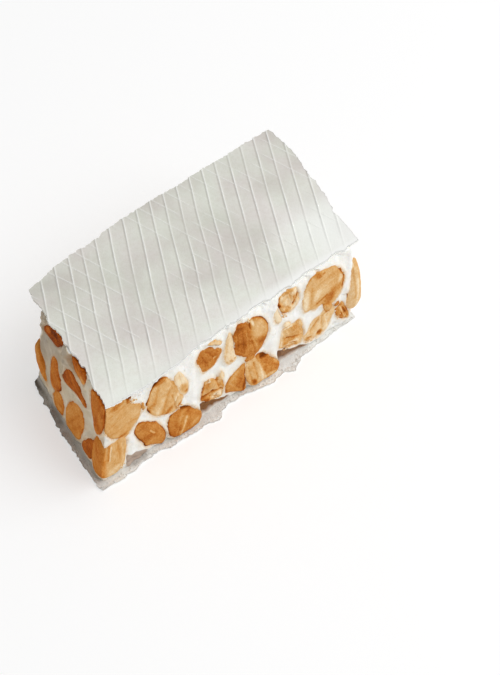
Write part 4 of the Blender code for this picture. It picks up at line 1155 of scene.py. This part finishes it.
def make_edge_almond(node, toasts, features, pointed, material):
    """An almond that an upright edge runs through: a stretched ball, squared by the power boxy,
    leaning, narrower at its top, bent flat where it would stand out of the two sides."""
    middle, half, lean, proud, boxy, names = EDGE_ALMONDS[node]
    ball = ball_points(EDGE_SEGMENTS, EDGE_RINGS, pointed)
    squared = np.sum(np.abs(ball) ** boxy, axis=-1) ** (1 / boxy)
    points = ball * (np.linalg.norm(ball, axis=-1) / squared)[:, None] * half
    points = middle + points + points[:, 2:] * np.array([*lean, 0.0])
    points += np.stack([0.3 * rough(points, 6.0, 55 + k, 3) for k in range(3)], axis=-1)
    toast, end_shade_warmth, total_weight = (np.full(len(points), start) for start in (0.0, 0.0, 1e-6))
    for name, tone, rules in zip(names, toasts, features):
        side = sides[name]
        off = points - side.origin
        past = off @ side.out - proud
        u, z = off @ side.along, off @ side.up + MIDDLE_HEIGHT
        rise, change = np.zeros(len(points)), np.full(len(points), tone)
        for rule in rules:
            more, tint = rule(u, z)
            rise, change = rise + more, change + tint
        rise = rise + 0.1 * rough(np.stack([u, z, 0 * u + 5], axis=-1), 2.4, 57, 3)
        points = points - side.out * (soft_excess(past, 0.2) - rise * smooth_step(past + 1.0))[:, None]
        weight = np.maximum((points - middle) @ side.out / half[1], 0.0) ** 6 + 1e-9
        toast = toast + weight * change
        # Painted warm shade, weighted towards the left end's side.
        end_shade_warmth = end_shade_warmth + weight * (name == "left")
        total_weight = total_weight + weight
    toast = toast / total_weight + 0.05 * rough(points, 4.0, 58, 2)
    points = kept_inside(points, names, 0.0)
    layers = {"toast": toast, "end_shade_warmth": end_shade_warmth / total_weight}
    faces = closed_rings(EDGE_RINGS, EDGE_SEGMENTS)
    piece = make_piece(node, points, faces, material, [node], layers)
    add_fibre_map(piece, points[:, 2], points[:, 0] - points[:, 1])


FINE_SEGMENTS, PLAIN_SEGMENTS = 180, 120
almond_finish = almond_material()
looks = {"front": FRONT_LOOKS, "left": LEFT_LOOKS, "right": RIGHT_LOOKS, "back": BACK_LOOKS}
for side, finishes in looks.items():
    segments = FINE_SEGMENTS if side in ("front", "left") else PLAIN_SEGMENTS
    for number, finish in enumerate(finishes, 1):
        node = f"almond_{side}_{number:02d}"
        make_cut_almond(node, cuts[node], finish, almond_finish, segments)

make_edge_almond("almond_edge_01", (0.38, 0.58),
                 ([crack((2.9, 17.6), (2.4, 10.8), 0.3, 0.2, -0.36),
                   crack((1.2, 18.5), (0.4, 12.5), 0.3, 0.2, -0.3),
                   crack((-0.8, 19), (-0.8, 3.2), 0.35, 0.1, -0.34),
                   crack((2, 18.4), (1.6, 11.6), 0.5, 0, 0.24), crack((5.4, 18), (6.6, 9), 0.5, 0.1, 0.1),
                   crack((7.4, 16), (8, 8), 0.5, 0.1, -0.12), patch((4.6, 4.4), (4.4, 2.4), 0, 0, -0.16),
                   patch((6.4, 15), (2, 3), 0, 0, 0.08)],
                  [crack((6.0, 15), (5.6, 6), 0.7, 0.2, -0.08)]), 0.05, almond_finish)
make_edge_almond("almond_edge_02", (0.2, 0.3),
                 ([crack((110.4, 29), (109.8, 14), 0.35, 0.15, 0.16),
                   crack((112, 26), (112.4, 12), 0.35, 0.15, 0.14),
                   crack((111.2, 22), (110.6, 10), 0.3, 0.1, -0.14),
                   patch((110.6, 30), (2.6, 1.0), 84, 0, 0.24)],
                  []), 0.24, almond_finish)
make_edge_almond("almond_edge_03", (0.6, 0.56), ([], []), 0.1, almond_finish)

# ----------------------------------------------------------------------
# Chips and crumbs. Bits of almond that the saw broke off and pressed into the sticky front, and
# crumbs of almond and of wafer along the torn edges. Each kind is one piece.
# ----------------------------------------------------------------------

CHIP_SEGMENTS, CHIP_RINGS = 90, 14
parts = []
for chip, (_, _, toast) in zip(chips, CHIPS):
    finish = look(toast, edge=0.12, dome=0.3, shoulder=0.4, coarse=0.2, patchy=0.12, depth=0.8)
    parts.append(cut_surface(chip, finish, CHIP_SEGMENTS, CHIP_RINGS))
starts = np.cumsum([0] + [len(points) for points, _, _ in parts])
faces = [block + start for (_, blocks, _), start in zip(parts, starts) for block in blocks]
points, toasts = (np.concatenate([part[k] for part in parts]) for k in (0, 2))
chip_piece = make_piece("almond_chips", points, faces, almond_finish, [], {"toast": toasts})
add_fibre_map(chip_piece, points[:, 2], points[:, 0])

CRUMB_SEGMENTS, CRUMB_RINGS = 8, 5


def make_crumbs(name, places, sizes, toasts, material, seed):
    """Small lumps at these places: balls of a few points, pulled out of shape by noise."""
    ball = ball_points(CRUMB_SEGMENTS, CRUMB_RINGS)
    lumps = ball[None] * sizes[:, None, None]
    pulled = np.stack([rough(lumps + places[:, None] * 3, 1.1, seed + k, 2) for k in range(3)], axis=-1)
    lumps = (lumps * (1 + 0.55 * pulled) + places[:, None]).reshape(-1, 3)
    starts = len(ball) * np.arange(len(places))[:, None, None]
    rings = closed_rings(CRUMB_RINGS, CRUMB_SEGMENTS)
    faces = [(block + starts).reshape(-1, block.shape[1]) for block in rings]
    layer = np.repeat(toasts, len(ball))
    # For wafer crumbs, 1 - layer is their painted shade.
    piece = make_piece(name, lumps, faces, material, [], {"toast": layer, "painted_shade_and_mottle": 1 - layer})
    add_fibre_map(piece, lumps[:, 2], lumps[:, 0])


dice = np.random.default_rng(7)
CRUMB_SIZES = (0.14, 0.36)
# Almond crumbs stick round the broken almonds: middle and half width of each patch of them.
CRUMB_PATCHES = [((48.6, 8), (2.6, 1.4)), ((82.6, 9.4), (3.4, 1.2)), ((77, 27.6), (1.6, 1.2)),
                 ((91, 4.6), (2.6, 0.9)), ((7.4, 4), (1.8, 1.2)), ((60.6, 36.8), (1.2, 1.0)),
                 ((104, 8), (1.6, 2)), ((54.6, 21.6), (1.8, 0.8)), ((31.6, 16), (1.4, 1.0)),
                 ((12, 34.6), (1.6, 0.8)), ((44, 18.6), (1.4, 0.8))]
CRUMBS_IN_PATCH = 9
spots = np.concatenate([np.array(middle) + dice.normal(0, 0.5, (CRUMBS_IN_PATCH, 2)) * half
                        for middle, half in CRUMB_PATCHES])
side = sides["front"]
stand = dice.uniform(0.25, 0.75, len(spots))
places = (side.origin + spots[:, :1] * side.along + (spots[:, 1:] - MIDDLE_HEIGHT) * side.up
          + stand[:, None] * side.out)
make_crumbs("almond_crumbs", places, dice.uniform(*CRUMB_SIZES, len(spots)),
            dice.uniform(-0.1, 0.4, len(spots)), almond_finish, 411)

WAFER_CRUMBS = 240
front_line = along_outline(BOTTOM_WAFER["front"], np.sort(dice.uniform(0, 1, WAFER_CRUMBS)))
left_line = along_outline(BOTTOM_WAFER["left"], np.sort(dice.uniform(0, 1, WAFER_CRUMBS // 3)))
front_line[:, 1] += dice.uniform(0.25, 2.0, len(front_line))
left_line[:, 0] += dice.uniform(0.3, 1.4, len(left_line))
spots = np.concatenate([front_line, left_line])
# The wafer crumbs take the bottom wafer's painted shade where they lie.
tops, _, _, painted_shade_and_mottle = bottom_sheet(spots[:, 0], spots[:, 1])
make_crumbs("wafer_crumbs", np.column_stack([spots, tops]), dice.uniform(*CRUMB_SIZES, len(spots)),
            1 - painted_shade_and_mottle, bottom_wafer_finish, 421)

# ----------------------------------------------------------------------
# The top wafer. The same sheet as the bottom one, pressed on while the nougat was warm, with its
# baked lattice of fine ridges outwards. It overhangs the back and droops over the sawn front edge.
# ----------------------------------------------------------------------

TOP_WAFER = {
    "front": [(0.8, 0.6), (3, 0), (5, -0.4), (10, -0.4), (15, -1.0), (20, -1.0), (25, -0.6), (33, -0.4),
        (36, 0.5), (42, 0.9), (47, 0.6), (52, 1.1), (58, 0.7), (63, 1.3), (67, 1.5), (71, 0.6), (76, 0.9),
        (80, 0.7), (84, 1.3), (90, 1.6), (95, 1.1), (101, 1.6), (105, 0.8), (111.3, 0.9)],
    "back": [(13.6, 54.8), (20.4, 55.8), (24, 56.5), (34, 57), (43, 57), (48.5, 57.9), (52, 58.4),
        (66.7, 58.7), (79.5, 58.5), (94, 59), (103, 58.5), (111.3, 58.8), (123, 58.5)],
    "left": [(0.8, 0.6), (2.3, 3.5), (2.7, 7.9), (3.2, 10.1), (4.6, 12.7), (5.7, 16.5), (5.4, 18),
        (6.7, 21.5), (6.8, 25), (7.5, 27.9), (7.5, 29.5), (8.4, 31.3), (8.9, 34), (8.6, 38.1), (9.6, 39.9),
        (10.5, 41.9), (10.9, 45.4), (11.5, 50), (13.6, 54.8)],
    "right": [(111.3, 0.9), (112.6, 7.5), (113.5, 16), (114.5, 17), (115.4, 19.3), (117.2, 23.8), (119, 32),
        (121.3, 41), (122.6, 47.5), (123, 58.5)],
}
TOP_GAP = 0.05
TOP_THICKNESS = 0.85
RIDGE_HEIGHT = 0.32
RIDGE_START = -20.1
FAINT_LEAN = 104.0


def top_sheet(x, y):
    """The top wafer follows the nougat, with bold ridges one way and broken ones the other, both
    fading towards the sawn edge. It has painted shade away from that edge, with random grey clouds,
    and a painted shadow on the lee side of each bold ridge; painted highlights on the ridges; and
    painted light where it droops at the front and right, and along its sawn edge."""
    x, y = np.asarray(x, float), np.asarray(y, float)
    flat = on_plane(x, y)
    bottom = crown_height(x, y) + TOP_GAP
    fading = 0.3 + 0.7 * smooth_step((y - 2) / 12)
    bold = ridge_lines(x, y, EMBOSS_LEAN, EMBOSS_SPACING, RIDGE_START, 0.2, 81)
    bold = bold * fading * (0.8 + 0.5 * lattice_noise(flat, 7.0, 82))
    faint = ridge_lines(x, y, FAINT_LEAN, EMBOSS_SPACING, 1.0, 0.18, 83)
    broken = smooth_step(1.8 * lattice_noise(flat, 9.0, 84) + 0.4 + 0.6 * smooth_step((y - 46) / 9))
    faint = (0.55 + 0.3 * smooth_step(1 - x / 60)) * faint * broken * smooth_step((y - 6) / 12)
    lumps = 0.05 * rough(flat, 7.0, 85, 3) + 0.03 * rough(flat, 1.4, 86, 2) * smooth_step(1 - y / 4)
    ridge = np.maximum(bold, faint)
    right = smooth_step((x - 84) / 24)
    # Painted shade: greyer away from the front edge, less at the right front and at the left end, with
    # random grey clouds.
    painted_shade_and_mottle = 0.75 * smooth_step((y - 4) / 26) * (1 - 0.7 * right * smooth_step((42 - y) / 14))
    painted_shade_and_mottle = painted_shade_and_mottle + 0.28 * rough(flat, 16.0, 87, 3)
    painted_shade_and_mottle = painted_shade_and_mottle * (1 - 0.5 * smooth_step(1 - x / 22))
    # Painted shadow on the lee side of each bold ridge.
    ridge_shadow = ridge_lines(x + 0.5, y, EMBOSS_LEAN, EMBOSS_SPACING, RIDGE_START, 0.22, 81)
    painted_shade_and_mottle = painted_shade_and_mottle + 0.75 * ridge_shadow * fading
    # Painted light along the front strip, brighter to the right, and over the right front.
    pale = (0.25 + 0.75 * smooth_step((x - 30) / 60)) * smooth_step(1 - (y - 1) / 5)
    pale = np.maximum(pale, 0.7 * right * smooth_step((32 - y) / 20))
    # Painted light along the sawn front edge.
    edge_light = smooth_step(1.2 - past_edge(TOP_WAFER, x, y) / 0.6)
    # Painted highlights on the ridges, with the painted light.
    white = np.maximum(np.maximum(0.85 * ridge, pale), edge_light)
    return bottom + TOP_THICKNESS + RIDGE_HEIGHT * ridge + lumps, bottom, white, np.clip(painted_shade_and_mottle, 0, 1)


# The shade colour below is the top wafer's painted shade and grey clouds.
top_wafer_finish = wafer_material("embossed_wafer", pale=(237, 240, 231), dull=(235, 231, 227),
                                  painted_shade_and_mottle=(224, 222, 219), fleck=(250, 249, 247), grain_depth=0.0001)
make_wafer("wafer_top", TOP_WAFER, top_sheet, columns=440, rows=190, depth=0.42, seed=91,
           material=top_wafer_finish)

# ----------------------------------------------------------------------
# The table and the light: a plain white surface, a broad lamp high over the front right, a white
# room, and the camera above the front left corner.
# ----------------------------------------------------------------------

FLOOR_HALF = 2.5
FLOOR_SHADE = (0.6, 0.6, 0.6, 1.0)
FLOOR_GLOW = 0.43
ROOM_LIGHT = 0.48
floor_mesh = bpy.data.meshes.new("floor")
floor_corners = [(x * FLOOR_HALF, y * FLOOR_HALF, 0) for x, y in ((-1, -1), (1, -1), (1, 1), (-1, 1))]
floor_mesh.from_pydata(floor_corners, [], [(0, 1, 2, 3)])
floor = new_object("floor", floor_mesh)
floor_finish, _, floor_shader = shader_of("white_table", 0.9)
floor_shader.inputs["Base Color"].default_value = FLOOR_SHADE
floor_shader.inputs["Emission Color"].default_value = (*WHITE, 1.0)
floor_shader.inputs["Emission Strength"].default_value = FLOOR_GLOW
floor_mesh.materials.append(floor_finish)


# The lamp: the way to it from the bar's middle, its distance and width in metres, and its watts.
LAMP_WAY = Vector((0.35, -0.34, 0.68)).normalized()
LAMP_DISTANCE = 1.1
LAMP_WIDTH = 1.2
LAMP_POWER = 8.9
BAR_MIDDLE = Vector((0, 0, 0.02))
lamp = new_object("key_lamp", bpy.data.lights.new("key_lamp", "AREA"))
lamp.data.shape = "SQUARE"
lamp.data.size = LAMP_WIDTH
lamp.data.energy = LAMP_POWER
lamp.location = LAMP_WAY * LAMP_DISTANCE + BAR_MIDDLE
lamp.rotation_euler = LAMP_WAY.to_track_quat("Z", "Y").to_euler()

world = bpy.data.worlds.new("studio")
world.use_nodes = True
background = world.node_tree.nodes["Background"]
background.inputs["Color"].default_value = (*WHITE, 1.0)
background.inputs["Strength"].default_value = ROOM_LIGHT
bpy.context.scene.world = world
bpy.context.scene.view_settings.view_transform = "Standard"

# The camera: its place in millimetres, the way it looks, its tilt to the right in degrees, and its
# lens and sensor width in millimetres.
CAMERA_PLACE = (-346.2, -370.0, 606.1)
CAMERA_LOOK = (0.4593, 0.4528, -0.7642)
CAMERA_TILT = 4.2
CAMERA_LENS = 122.67
SENSOR_WIDTH = 36
camera = new_object("camera", bpy.data.cameras.new("camera"))
camera.data.lens = CAMERA_LENS
camera.data.sensor_width = SENSOR_WIDTH
camera.data.clip_start = 0.01
camera.location = Vector(CAMERA_PLACE) * MM
look_turn = Vector(CAMERA_LOOK).to_track_quat("-Z", "Y")
camera.rotation_euler = (look_turn @ Quaternion((0, 0, 1), math.radians(CAMERA_TILT))).to_euler()
bpy.context.scene.camera = camera
